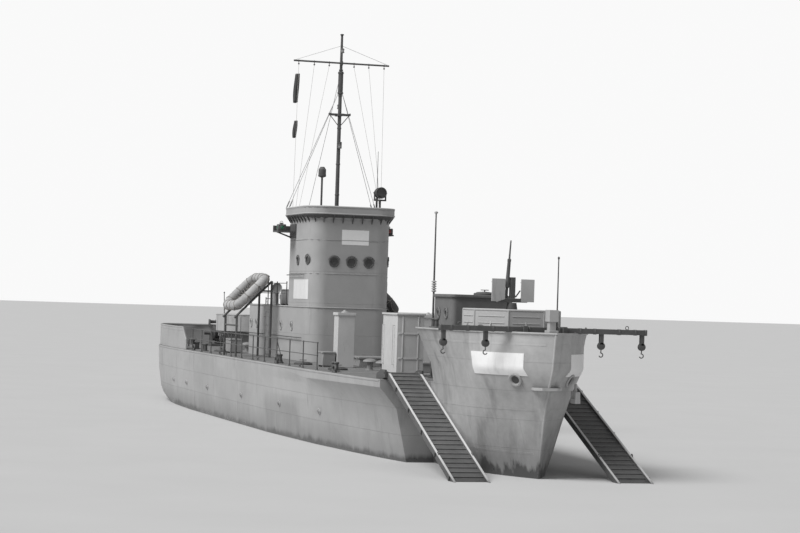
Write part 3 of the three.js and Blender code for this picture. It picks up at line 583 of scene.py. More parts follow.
HULL_PAINT = Paint(
    "hull_side_paint", Slot.HULL, grey(0.31), grey(0.39), 0.9, 1.6, grey(0.13), 0.35, 0.4, 0.9,
    deck=grey(0.13), deck_share=1.0, seam_share=0.2, wet_top=0.10, wet_ragged=0.05, run_width=0.16,
    marks=((2.0, 4.4, 0.74, 1.03, 0.44, 0.4, 0.02), (1.3, 3.7, 0.25, 0.68, 0.17, 0.45, 0.14)),
)
BOW_PAINT = Paint(
    "bow_paint", Slot.HULL, grey(0.46), grey(0.36), 0.9, 0.7, grey(0.13), 0.55, 0.6, 1.5,
    deck=grey(0.13), deck_share=1.0, seam_share=0.12, wet_top=0.16, wet_ragged=0.16, run_width=0.22,
    marks=((7.0, 14.0, -1.5, 0.62, 0.15, 0.6, 0.32),),
)
HOUSE_PAINT = Paint(
    "house_paint", Slot.HULL, grey(0.34), grey(0.395), 0.7, 0.9, grey(0.12), 0.3, 0.35, 0.6,
    deck=grey(0.16), deck_share=0.9, seam_share=0.12, row=0.6, pitch=0.7,
)
BOX_PAINT = Paint(
    "deck_box_paint", Slot.DECK, grey(0.55), grey(0.47), 0.7, 0.5, grey(0.16), 0.35, 0.45, 0.4,
    deck=grey(0.22), deck_share=0.7,
)
GEAR_PAINT = Paint(
    "deck_gear_paint", Slot.DECK, grey(0.25), grey(0.30), 0.7, 0.5, grey(0.08), 0.45, 0.45, 0.4,
    deck=grey(0.15), deck_share=0.7,
)
TUB_PAINT = Paint(
    "tub_paint", Slot.DECK, grey(0.42), grey(0.48), 0.7, 0.4, grey(0.08), 0.4, 0.4, 0.3,
    deck=grey(0.13), deck_share=0.8,
)
FORE_PAINT = Paint(
    "forward_house_paint", Slot.DECK, grey(0.13), grey(0.17), 0.7, 0.5, grey(0.05), 0.4, 0.4, 0.4,
    deck=grey(0.10), deck_share=0.8,
)
RIM_PAINT = Paint(
    "rim_paint", Slot.DECK, grey(0.42), grey(0.34), 0.6, 0.4, grey(0.12), 0.4, 0.4, 0.3, wear=grey(0.6),
)
RAMP_PAINT = Paint(
    "ramp_paint", Slot.RAMP, grey(0.085), grey(0.12), 0.8, 0.35, grey(0.04), 0.4, 0.5, 0.3,
    wear=grey(0.30), wear_share=0.8, wet_top=0.06, wet_ragged=0.03,
)
RAMP_RAIL_PAINT = Paint(
    "ramp_rail_paint", Slot.RAMP, grey(0.60), grey(0.48), 0.6, 0.3, grey(0.15), 0.4, 0.4, 0.3,
    wear=grey(0.7), wet_top=0.04, wet_ragged=0.02,
)
FITTING_PAINT = Paint(
    "fitting_paint", Slot.FITTING, grey(0.07), grey(0.11), 0.7, 0.4, grey(0.03), 0.3, 0.4, 0.3,
    wear=grey(0.26), wear_share=0.6,
)
SHIELD_PAINT = Paint(
    "shield_paint", Slot.FITTING, grey(0.44), grey(0.50), 0.7, 0.3, grey(0.08), 0.4, 0.5, 0.3,
    wear=grey(0.42), wear_share=0.7,
)
# A brighter copy of the bar white below, for the tower front bar and the bow bars: the extra brightness is
# painted light, so these bars read as brightly lit white.
PAINTED_LIGHT_WHITE = Paint(
    "fresh_white_paint", Slot.HULL, grey(0.86), grey(0.76), 0.5, 0.35, grey(0.4), 0.25, 0.5, 0.4,
    wear=grey(0.4), roughness=0.5,
)
WHITE_PAINT = Paint(
    "white_bar_paint", Slot.HULL, grey(0.72), grey(0.60), 0.5, 0.35, grey(0.3), 0.3, 0.5, 0.4,
    wear=grey(0.4), roughness=0.5,
)
BOTTOM_PAINT = Paint(
    "antifouling_paint", Slot.BOTTOM, (0.10, 0.07, 0.06), (0.14, 0.10, 0.085), 0.8, 0.5, grey(0.04),
    0.4, 0.5, 0.5, wear=grey(0.2), wear_share=0.4,
)
RAFT_CANVAS = Cloth("raft_cover", Slot.RAFT, grey(0.52), grey(0.27), 170.0)
# The raft canvas made dark for the port raft: painted shade, standing in for the shade that raft lies in;
# the cloth is the same as the starboard raft's.
PAINTED_SHADE_CANVAS = Cloth("raft_cover_old", Slot.RAFT, grey(0.13), grey(0.07), 170.0)
BUNTING = Cloth("bunting", Slot.RAFT, grey(0.10), grey(0.05), 320.0)
SLATS = Timber("slats", Slot.RAFT)
HEMP = Rope("hemp", Slot.RAFT)
HALYARD = Rope("halyard_line", Slot.RAFT, grey(0.55, 0.03), grey(0.35))
WIRE = Rope("wire_rope", Slot.FITTING, grey(0.42), grey(0.22), 300.0, 0.3)
BRONZE = Metal("dull_bronze", Slot.BRONZE)
PORT_GLASS = Pane("port_glass", Slot.FITTING)
LAMP_GLASS = Pane("lamp_glass", Slot.FITTING, grey(0.25), grey(0.45), 0.08)
RED_GLASS = Pane("red_glass", Slot.FITTING, (0.16, 0.01, 0.01), (0.25, 0.05, 0.04))
GREEN_GLASS = Pane("green_glass", Slot.FITTING, (0.01, 0.10, 0.05), (0.05, 0.18, 0.1))


def on_frame(p: Point) -> Vector:
    """A point of the full-size craft, in the frame's half-scale metres."""
    return Vector(((p[0] + MID_LENGTH) * SCALE, p[1] * SCALE, p[2] * SCALE))


def off_frame(p: Point) -> Vector:
    """A point of the frame, in metres of the full-size craft."""
    return Vector((p[0] / SCALE - MID_LENGTH, p[1] / SCALE, p[2] / SCALE))


def across_of(way: Vector) -> Vector:
    """A level direction square to a way, or one square to x where the way stands upright."""
    return way.cross(UP if abs(way.z) < NEARLY_UPRIGHT else FORWARD).normalized()


def grid(rows: int, columns: int, round_rows: bool = False, closed: bool = False) -> list[tuple[int, ...]]:
    """Four-sided faces between rows of points.

    Args:
        rows: How many rows.
        columns: Points in each row.
        round_rows: Whether each row joins its own start.
        closed: Whether the last row joins the first.

    Returns:
        The faces, as numbers of the points.
    """
    faces = []
    for i in range(rows if closed else rows - 1):
        a, b = i * columns, (i + 1) % rows * columns
        for k in range(columns if round_rows else columns - 1):
            m = (k + 1) % columns
            faces.append((a + k, a + m, b + m, b + k))
    return faces


def end_caps(rows: int, columns: int) -> list[tuple[int, ...]]:
    """The faces that close the first and last of some round rows."""
    return [tuple(range(columns)), tuple(range((rows - 1) * columns, rows * columns))]


class Form:
    """Collects the points and faces of one piece, in metres of the full-size craft."""

    def __init__(self) -> None:
        """Starts empty."""
        self.points: list[Vector] = []
        self.faces: list[tuple[int, ...]] = []
        self.tints: list[int] = []

    def add(self, points: Iterable[Point], faces: Iterable[Sequence[int]], tint: int = 0) -> None:
        """Adds points and the faces between them."""
        start = len(self.points)
        self.points.extend(Vector(p) for p in points)
        for face in faces:
            self.faces.append(tuple(start + i for i in face))
            self.tints.append(tint)

    def block(
        self, low: Point, high: Point, chamfer: float = 0.012, turn: Matrix = NO_TURN, tint: int = 0
    ) -> None:
        """Adds a box with chamfered edges.

        Args:
            low: Lowest corner.
            high: Highest corner.
            chamfer: Width cut off each edge.
            turn: Rotation about the box's middle.
            tint: Which finish the faces take.
        """
        middle = (Vector(low) + Vector(high)) / 2
        half = (Vector(high) - Vector(low)) / 2
        cut = min(chamfer, 0.4 * min(half))
        signs = [(a, b, c) for a in (-1, 1) for b in (-1, 1) for c in (-1, 1)]
        index: dict[tuple[tuple[int, ...], int], int] = {}
        points = []
        for sign in signs:
            for axis in range(3):
                index[(sign, axis)] = len(points)
                spot = [s * (h if k == axis else h - cut) for k, (s, h) in enumerate(zip(sign, half))]
                points.append(middle + turn @ Vector(spot))

        def corner(axis: int, side: int, u: int, a: int, v: int, b: int) -> tuple[int, ...]:
            """The signs of a corner, from its sign on each axis."""
            sign = [0, 0, 0]
            sign[axis], sign[u], sign[v] = side, a, b
            return tuple(sign)

        faces = [tuple(index[(sign, axis)] for axis in range(3)) for sign in signs]
        round_trip = ((-1, -1), (1, -1), (1, 1), (-1, 1))
        for axis in range(3):
            u, v = [k for k in range(3) if k != axis]
            for s in (-1, 1):
                faces.append(tuple(index[(corner(axis, s, u, a, v, b), axis)] for a, b in round_trip))
            for a, b in round_trip:
                near, far = corner(axis, -1, u, a, v, b), corner(axis, 1, u, a, v, b)
                faces.append((index[(near, u)], index[(near, v)], index[(far, v)], index[(far, u)]))
        self.add(points, faces, tint)

    def pad(
        self, foot: Point, half_x: float, half_y: float, height: float, chamfer: float = 0.012, tint: int = 0
    ) -> None:
        """Adds a block centred over its foot."""
        x, y, z = foot
        self.block((x - half_x, y - half_y, z), (x + half_x, y + half_y, z + height), chamfer, tint=tint)

    def tube(
        self, path: Sequence[Point], radius: float | Sequence[float], sides: int = 8, closed: bool = False
    ) -> None:
        """Sweeps a round section along a path.

        Args:
            path: Points of the centreline.
            radius: The section's radius, or one for each point.
            sides: Sides of the section.
            closed: Whether the path's end joins its start.
        """
        line = [Vector(p) for p in path]
        count = len(line)
        radii = radius if isinstance(radius, Sequence) else [radius] * count
        ways = []
        for i in range(count):
            before = line[(i - 1) % count] if closed or i else line[i]
            after = line[(i + 1) % count] if closed or i < count - 1 else line[i]
            ways.append((after - before).normalized())
        across = across_of(ways[0])
        points = []
        for spot, way, size in zip(line, ways, radii):
            across = (across - way * across.dot(way)).normalized()
            points += circle(spot, across * size, across.cross(way) * size, sides)
        self.add(points, grid(count, sides, True, closed) + ([] if closed else end_caps(count, sides)))

    def turned(self, foot: Point, axis: Point, profile: Profile, sides: int = 20, tint: int = 0) -> None:
        """Turns a profile about an axis.

        Args:
            foot: The point that heights are measured from.
            axis: The direction of the axis.
            profile: Radius and height pairs from one end to the other.
            sides: Sides of the turned form.
            tint: Which finish the faces take.
        """
        way = Vector(axis).normalized()
        across = across_of(way)
        points = []
        for radius, height in profile:
            spoke = max(radius, 1e-4)
            points += circle(Vector(foot) + way * height, across * spoke, way.cross(across) * spoke, sides)
        self.add(points, grid(len(profile), sides, True) + end_caps(len(profile), sides), tint)

    def post(self, foot: Point, profile: Profile, sides: int = 20, tint: int = 0) -> None:
        """Turns a profile about the upright."""
        self.turned(foot, UP, profile, sides, tint)

    def plate(self, outline: Sequence[Point], depth: Point) -> None:
        """Gives a flat outline a thickness, the way and as far as the depth."""
        front = [Vector(p) for p in outline]
        count = len(front)
        faces = [tuple(range(count)), tuple(range(count, 2 * count))]
        faces += [(i, (i + 1) % count, count + (i + 1) % count, count + i) for i in range(count)]
        self.add(front + [p + Vector(depth) for p in front], faces)

    def skin(self, rows: Sequence[Sequence[Point]], out: Callable[[int, int], Vector], depth: float) -> None:
        """Lays a thin plate over a curved surface.

        Args:
            rows: Points on the surface, row by row.
            out: The way out of the surface at a row and column.
            depth: The plate's thickness.
        """
        height, width = len(rows), len(rows[0])
        spots = [(Vector(p), out(i, j)) for i, row in enumerate(rows) for j, p in enumerate(row)]
        total = height * width
        faces = []
        for quad in grid(height, width):
            faces += [quad, tuple(total + k for k in quad)]
        rim = list(range(width)) + [i * width + width - 1 for i in range(1, height)]
        rim += [(height - 1) * width + j for j in range(width - 2, -1, -1)]
        rim += [i * width for i in range(height - 2, 0, -1)]
        faces += [(a, b, total + b, total + a) for a, b in zip(rim, rim[1:] + rim[:1])]
        self.add([p - way * SKIN_SINK for p, way in spots] + [p + way * depth for p, way in spots], faces)

    def moved(self, turn: Matrix, shift: Point = (0, 0, 0)) -> "Form":
        """Turns or mirrors the form about the origin, shifts it and gives it back."""
        self.points = [turn @ p + Vector(shift) for p in self.points]
        return self

    def piece(self, name: str, *finishes: Finish, body: str = "craft") -> bpy.types.Object:
        """Makes a piece from the form and hangs it on a body.

        Args:
            name: The piece's name.
            *finishes: Its finishes, in the order of the form's tints.
            body: The CAD body it rides on.

        Returns:
            The new object.
        """
        mesh = bpy.data.meshes.new(name)
        mesh.from_pydata([on_frame(p) for p in self.points], [], self.faces)
        for finish in finishes:
            mesh.materials.append(finish.material())
        mesh.polygons.foreach_set("material_index", self.tints)
        shell = bmesh.new()
        shell.from_mesh(mesh)
        bmesh.ops.recalc_face_normals(shell, faces=shell.faces)
        shell.to_mesh(mesh)
        shell.free()
        mesh.shade_smooth()
        mesh.set_sharp_from_angle(angle=SHARP_ANGLE)
        piece = bpy.data.objects.new(name, mesh)
        bpy.context.scene.collection.objects.link(piece)
        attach(piece, body)
        LOG.info("%s: %d faces on %s", name, len(mesh.polygons), body)
        return piece

    def piece_on(self, side: Side, name: str, *finishes: Finish, body: str = "craft") -> None:
        """Makes one side's piece of a form that is drawn for the port side."""
        self.moved(side.mirror).piece(f"{name}_{side.label}", *finishes, body=body)


def along(start: Point, end: Point, count: int) -> list[Vector]:
    """Evenly spaced points from one point to another, both included."""
    return [Vector(start).lerp(Vector(end), i / (count - 1)) for i in range(count)]


def arc(centre: Point, u: Point, v: Point, start: float, end: float, count: int) -> list[Vector]:
    """Points on an ellipse's arc."""
    angles = [radians(start + (end - start) * i / (count - 1)) for i in range(count)]
    return [Vector(centre) + Vector(u) * cos(a) + Vector(v) * sin(a) for a in angles]


def circle(centre: Point, u: Point, v: Point, count: int) -> list[Vector]:
    """Points round a whole ellipse, its start not given twice."""
    return arc(centre, u, v, 0, 360 * (count - 1) / count, count)


def spoke(angle: float) -> Vector:
    """A level way of length one, at an angle in radians from forward."""
    return Vector((cos(angle), sin(angle), 0))


def sized(profile: Profile, scale: float) -> Profile:
    """A profile at another size."""
    return [(radius * scale, height * scale) for radius, height in profile]


def rounded_plan(
    x0: float, x1: float, half_y: float, corner: float, z: float, steps: int = 3
) -> list[Vector]:
    """The plan outline of a house with rounded corners.

    Args:
        x0: Aft end.
        x1: Forward end.
        half_y: Half width.
        corner: Corner radius.
        z: Height of the outline.
        steps: Facets to a corner.

    Returns:
        The outline's points, from the forward port corner round by aft.
    """
    centres = [(x1 - corner, 1, 0), (x0 + corner, 1, 1), (x0 + corner, -1, 2), (x1 - corner, -1, 3)]
    outline = []
    for x, sign, quarter in centres:
        for i in range(steps + 1):
            way = spoke((quarter + i / steps) * pi / 2)
            outline.append(Vector((x, sign * (half_y - corner), z)) + way * corner)
    return outline


@dataclass
class FrameSkin:
    """Gives the CAD nodes their finishes and softens their edges."""

    edge: float = 0.006
    edge_angle: float = radians(31)
    weld: float = 1e-5
    plate_inner_y: float = 0.245
    slender_share: float = 0.3
    slender: tuple[str, ...] = (
        "railing", "mast", "whip", "raft", "searchlight", "signal",
        "ramp", "propeller", "bow_anchor", "sidelight",
    )
    coats: tuple[tuple[Finish, tuple[str, ...]], ...] = (
        (HULL_PAINT, ("hull", "stern_bulwark")),
        (BOW_PAINT, ("bow", "stem_post")),
        (TUB_PAINT, ("bow_tub", "aft_tub")),
        (SHIELD_PAINT, ("bow_mount_head",)),
        (FITTING_PAINT, ("bow_mount_base", "ramp_sill", "ramp_beam")),
        (GEAR_PAINT, ("aft_platform",)),
        (FORE_PAINT, ("forward_house",)),
        (BOX_PAINT, ("companionway", "vent_trunk")),
        (HOUSE_PAINT, ("deckhouse", "conning_tower", "bridge")),
        (RAMP_PAINT, ("ramp",)),
        (BRONZE, ("propeller",)),
        (BOTTOM_PAINT, ("propeller_shaft", "rudder")),
    )

    def finish_of(self, node: str) -> Finish:
        """The finish of a node, by the longest name that its own starts with."""
        fits = [(len(n), finish) for finish, names in self.coats for n in names if node.startswith(n)]
        return max(fits, key=lambda fit: fit[0])[1] if fits else FITTING_PAINT

    def dress(self, nodes: dict[str, bpy.types.Object]) -> None:
        """Dresses every CAD node."""
        for name, node in nodes.items():
            mesh = node.data
            mesh.materials.clear()
            mesh.materials.append(self.finish_of(name).material())
            if name == "bow_mount_head":
                self.darken_middle(node)
            custom = mesh.attributes.get("custom_normal")
            if custom is not None:
                mesh.attributes.remove(custom)
            mesh.shade_smooth()
            node.modifiers.new("Weld", "WELD").merge_threshold = self.weld
            bevel = node.modifiers.new("Edges", "BEVEL")
            bevel.limit_method = "ANGLE"
            bevel.angle_limit = self.edge_angle
            bevel.width = self.edge * (self.slender_share if name.startswith(self.slender) else 1.0)
            bevel.segments = 2
            node.modifiers.new("Even", "WEIGHTED_NORMAL").keep_sharp = True
            LOG.info("frame node %s dressed", name)

    def darken_middle(self, node: bpy.types.Object) -> None:
        """Gives what stands between the mount's two plates the dark fitting paint."""
        node.data.materials.append(FITTING_PAINT.material())
        for face in node.data.polygons:
            face.material_index = int(abs(off_frame(node.matrix_world @ face.center).y) < self.plate_inner_y)


class SideSkin:
    """One side of a CAD node, found by rays, for what is laid on it."""

    step = 0.05
    far = 9.0

    def __init__(self, name: str, top: float, side: Side) -> None:
        """Takes a node's faces."""
        node = frame["nodes"][name]
        points = [off_frame(node.matrix_world @ vertex.co) for vertex in node.data.vertices]
        self.tree = BVHTree.FromPolygons(points, [tuple(face.vertices) for face in node.data.polygons])
        self.top = top
        self.side = side

    def at(self, x: float, z: float) -> Vector:
        """The outermost point at a length and a height."""
        return self.tree.ray_cast(self.side.point(x, self.far, z), -self.side.out)[0]

    def stem(self, z: float) -> Vector:
        """The foremost point on the middle line at a height."""
        return self.tree.ray_cast(Vector((self.far, 0.001, z)), -FORWARD)[0]

    def out(self, x: float, z: float) -> Vector:
        """The way out of the side there."""
        step = self.step
        height = min(z, self.top - step - 0.01)
        fore = self.at(x + step, height) - self.at(x - step, height)
        up = self.at(x, height + step) - self.at(x, height - step)
        return up.cross(fore).normalized() * self.side.value

    def patch(self, form: Form, span: Point, rise: Point, depth: float, pitch: float = 0.1) -> None:
        """Lays a thin plate over part of the side.

        Args:
            form: Where the plate goes.
            span: Its aft and forward ends.
            rise: Its foot and top.
            depth: Its thickness.
            pitch: Distance between its points.
        """
        (x0, x1), (z0, z1) = span, rise
        columns = max(2, round((x1 - x0) / pitch) + 1)
        lines = max(2, round((z1 - z0) / pitch) + 1)
        xs = [x0 + (x1 - x0) * j / (columns - 1) for j in range(columns)]
        zs = [z0 + (z1 - z0) * i / (lines - 1) for i in range(lines)]
        form.skin([[self.at(x, z) for x in xs] for z in zs], lambda i, j: self.out(xs[j], zs[i]), depth)


@dataclass
class HullDressing:
    """Rub rails, plating straps and overboard pipes on the hull's sides."""

    bar_radius: float = 0.045
    bar_xs: Row = (
        -47.1, -46.9, -46.2, -45.0, -43.0, -40.0, -35.0, -29.0, -20.0, -14.0, -10.0, -7.5, -5.98,
    )
    strap_xs: Row = (-42.6, -38.2, -34.0, -29.8, -25.2)
    pipe_xs: Row = (-38.9, -35.6, -31.0, -24.4, -18.3, -13.2)
    pipe_z: float = 1.15
    pipe: Profile = (
        (0.115, -0.01), (0.115, 0.02), (0.10, 0.03),
        (0.062, 0.035), (0.062, 0.075), (0.045, 0.08), (0.04, 0.0),
    )

    def build(self, side: Side) -> None:
        """Makes one side's pieces."""
        skin = SideSkin("hull", MAIN_DECK_Z, side)
        bar = Form()
        bar.tube([skin.at(x, 2.5) - side.out * 0.03 for x in self.bar_xs], self.bar_radius, 12)
        bar.piece(f"gunwale_bar_{side.label}", HULL_PAINT)
        straps = Form()
        for x in self.strap_xs:
            skin.patch(straps, (x - 0.05, x + 0.05), (0.12, 2.4), 0.005, 0.15)
        straps.piece(f"hull_straps_{side.label}", HULL_PAINT)
        pipes = Form()
        for x in self.pipe_xs:
            spot, way = skin.at(x, self.pipe_z), skin.out(x, self.pipe_z)
            pipes.turned(spot, way, self.pipe, 18)
            for bolt in circle(spot, FORWARD * 0.088, way.cross(FORWARD).normalized() * 0.088, 6):
                pipes.turned(bolt, way, [(0.012, 0), (0.012, 0.038), (0.006, 0.042)], 6)
        pipes.piece(f"overboard_pipes_{side.label}", HULL_PAINT)


@dataclass
class BowDressing:
    """Edge bar, stem bar, hawse rings, straps and plain bars of the bow."""

    bar: tuple[Point, Point] = ((-1.32, 0.35), (2.96, 3.60))
    hawse: Pair = (0.02, 2.84)
    edge_xs: Row = (
        -4.87, -4.2, -3.4, -2.6, -2.0, -1.5, -1.05, -0.6, -0.25, 0.1, 0.4, 0.65, 0.85, 0.97,
    )
    stem_zs: Row = (-0.35, 0.0, 0.4, 0.75, 1.1, 1.55, 2.0, 2.42, 2.8, 3.15, 3.6, 4.0, 4.15)
    level_straps: tuple[tuple[float, Point], ...] = (
        (0.72, (-5.75, -0.15)), (1.98, (-5.75, 0.15)), (3.86, (-4.75, 0.8)),
    )
    upright_straps: tuple[tuple[float, Point], ...] = ((-4.1, (0.3, 3.8)), (-2.3, (0.3, 1.95)))
    strap_half: float = 0.03
    hawse_rim: Profile = (
        (0.10, -0.02), (0.20, 0.0), (0.215, 0.03), (0.19, 0.055), (0.15, 0.05), (0.125, 0.02), (0.12, -0.03),
    )

    def build(self) -> None:
        """Makes the bow's pieces."""
        skins = {side: SideSkin("bow", FORECASTLE_Z, side) for side in Side}
        rim_z = FORECASTLE_Z - 0.01
        port, starboard = ([skins[side].at(x, rim_z) for x in self.edge_xs] for side in Side)
        edge = Form()
        tip = skins[Side.PORT].stem(rim_z)
        edge.tube([p - UP * 0.01 for p in [*port, tip, *starboard[::-1]]], 0.035, 12)
        edge.piece("forecastle_edge_bar", BOW_PAINT)
        stem = Form()
        stem.tube([skins[Side.PORT].stem(z) - FORWARD * 0.015 for z in self.stem_zs], 0.04, 12)
        stem.piece("stem_bar", BOW_PAINT)
        for side, skin in skins.items():
            bars = Form()
            skin.patch(bars, *self.bar, 0.014, 0.07)
            # The bow bars take the brighter white, which carries painted light.
            bars.piece(f"bow_white_bar_{side.label}", PAINTED_LIGHT_WHITE)
            straps = Form()
            half = self.strap_half
            for z, span in self.level_straps:
                skin.patch(straps, span, (z - half, z + half), 0.005)
            for x, rise in self.upright_straps:
                skin.patch(straps, (x - half, x + half), rise, 0.005)
            straps.piece(f"bow_straps_{side.label}", BOW_PAINT)
            hole = Form()
            spot, way = skin.at(*self.hawse), skin.out(*self.hawse)
            hole.turned(spot, way, self.hawse_rim, 28)
            hole.turned(spot, way, [(0.13, 0.001), (0.13, 0.006), (0.0, 0.008)], 24, tint=1)
            hole.piece(f"hawse_ring_{side.label}", BOW_PAINT, FITTING_PAINT)


class Gear(Form):
    """A form that also takes the small fittings that stand in many places."""

    def bitts(self, foot: Point, scale: float) -> None:
        """A pair of bollards on one base, fore and aft."""
        x, y, z = foot
        self.pad((x, y, z - 0.005), 0.38 * scale, 0.13 * scale, 0.005 + 0.05 * scale, 0.015)
        bollard = [(0.085, 0.02), (0.08, 0.30), (0.11, 0.33), (0.11, 0.36), (0.09, 0.385), (0.0, 0.39)]
        for e in (-0.22, 0.22):
            self.post((x + e * scale, y, z), sized(bollard, scale))

    def chock(self, foot: Point, scale: float, turn: float = 0.0) -> None:
        """A closed chock for a mooring line.

        Args:
            foot: Middle of its foot.
            scale: Size against the largest.
            turn: Angle about the upright, in radians.
        """
        rotation = Matrix.Rotation(turn, 3, "Z")
        ring = circle(UP * (0.17 * scale), FORWARD * (0.26 * scale), UP * (0.14 * scale), 24)
        self.tube([Vector(foot) + rotation @ p for p in ring], 0.05 * scale, 12, True)
        half = Vector((0.24, 0.06, 0.03)) * scale
        middle = Vector(foot) + UP * (0.02 * scale)
        self.block(middle - half, middle + half, 0.01, rotation)

    def cleat(self, foot: Point, scale: float) -> None:
        """A two-horned cleat, fore and aft."""
        x, y, z = foot
        horns = [(-0.2, 0.12), (-0.12, 0.09), (0, 0.085), (0.12, 0.09), (0.2, 0.12)]
        radii = [r * scale for r in (0.012, 0.024, 0.03, 0.024, 0.012)]
        self.tube([(x + a * scale, y, z + h * scale) for a, h in horns], radii, 10)
        self.pad((x, y, z - 0.004), 0.09 * scale, 0.04 * scale, 0.004 + 0.02 * scale, 0.006)
        for e in (-0.05, 0.05):
            self.tube([(x + e * scale, y, z), (x + e * scale, y, z + 0.09 * scale)], 0.02 * scale, 10)

    def mushroom(self, foot: Point, scale: float) -> None:
        """A mushroom ventilator."""
        trunk = [(0.16, -0.005), (0.16, 0.02), (0.11, 0.03), (0.11, 0.30), (0.12, 0.31)]
        cap = [(0.24, 0.29), (0.26, 0.31), (0.24, 0.36), (0.14, 0.41), (0.0, 0.43)]
        self.post(foot, sized(trunk + cap, scale), 24)

    def scuttle(self, foot: Point, radius: float) -> None:
        """A round flush hatch with a handwheel."""
        coaming = [(radius + 0.07, -0.005), (radius + 0.07, 0.06), (radius + 0.03, 0.075), (radius, 0.07)]
        self.post(foot, coaming + [(radius - 0.02, 0.1), (0.05, 0.12), (0.0, 0.12)], 28)
        hub = Vector(foot) + UP * 0.17
        self.tube(circle(hub, (0.12, 0, 0), (0, 0.12, 0), 20), 0.012, 8, True)
        for k in range(3):
            way = spoke(k * pi / 3) * 0.12
            self.tube([hub - way, hub + way], 0.008)
        self.tube([hub - UP * 0.09, hub], 0.02, 10)

    def locker(self, low: Point, high: Point) -> None:
        """A deck locker with a lid, hinges and clasps."""
        (x0, y0, z0), (x1, y1, z1) = low, high
        self.block((x0, y0, z0 + 0.05), (x1, y1, z1 - 0.05), 0.012)
        self.block((x0 - 0.02, y0 - 0.02, z1 - 0.06), (x1 + 0.02, y1 + 0.02, z1), 0.015)
        for x in (x0 + 0.08, x1 - 0.08):
            self.block((x - 0.04, y0 + 0.02, z0 - 0.005), (x + 0.04, y1 - 0.02, z0 + 0.07), 0.008)
            self.block((x - 0.03, y0 - 0.032, z1 - 0.2), (x + 0.03, y0 + 0.004, z1 - 0.03), 0.006)
            self.tube([(x - 0.05, y1 + 0.022, z1 - 0.05), (x + 0.05, y1 + 0.022, z1 - 0.05)], 0.018, 10)

    def cowl(self, foot: Vector) -> None:
        """A cowl ventilator that looks forward."""
        self.post(foot, [(0.2, 0), (0.2, 0.03), (0.13, 0.06), (0.125, 0.5)])
        bend = arc(foot + Vector((0.18, 0, 0.48)), (-0.18, 0, 0), (0, 0, 0.22), 0, 90, 7)
        self.tube(bend, [0.125, 0.13, 0.14, 0.15, 0.165, 0.18, 0.2], 20)
        self.turned(bend[-1], (1, 0, 0.1), [(0.2, -0.01), (0.215, 0.03), (0.2, 0.04), (0.16, 0.0)])

    def porthole(self, centre: Point, way: Vector, radius: float = 0.13) -> None:
        """A porthole with its rain bead and bolts; the glass takes the second finish.

        Args:
            centre: Its middle on the wall.
            way: The way out of the wall.
            radius: The glass's radius.
        """
        middle, r = Vector(centre), radius
        rim = [(r + 0.055, -0.004), (r + 0.055, 0.016), (r + 0.04, 0.03), (r + 0.006, 0.032)]
        self.turned(middle, way, rim + [(r, 0.024), (r, 0.004), (r - 0.004, -0.004)], 28)
        glass = [(r + 0.003, -0.003), (r + 0.003, 0.008), (r * 0.6, 0.0105), (0.0, 0.012)]
        self.turned(middle, way, glass, 28, tint=1)
        u = way.cross(UP).normalized()
        self.tube(arc(middle + way * 0.03, u * (r + 0.085), UP * (r + 0.085), 15, 165, 13), 0.014)
        for bolt in arc(middle, u * (r + 0.034), UP * (r + 0.034), 22.5, 337.5, 8):
            self.turned(bolt, way, [(0.011, 0.02), (0.011, 0.038), (0.006, 0.043)], 6)

    def grab_rail(self, line: Sequence[Vector], count: int, reach: Vector) -> None:
        """A rail on short arms."""
        self.tube(line, 0.018, 10)
        for spot in along(line[0], line[1], count):
            self.tube([spot, spot + reach], 0.013)


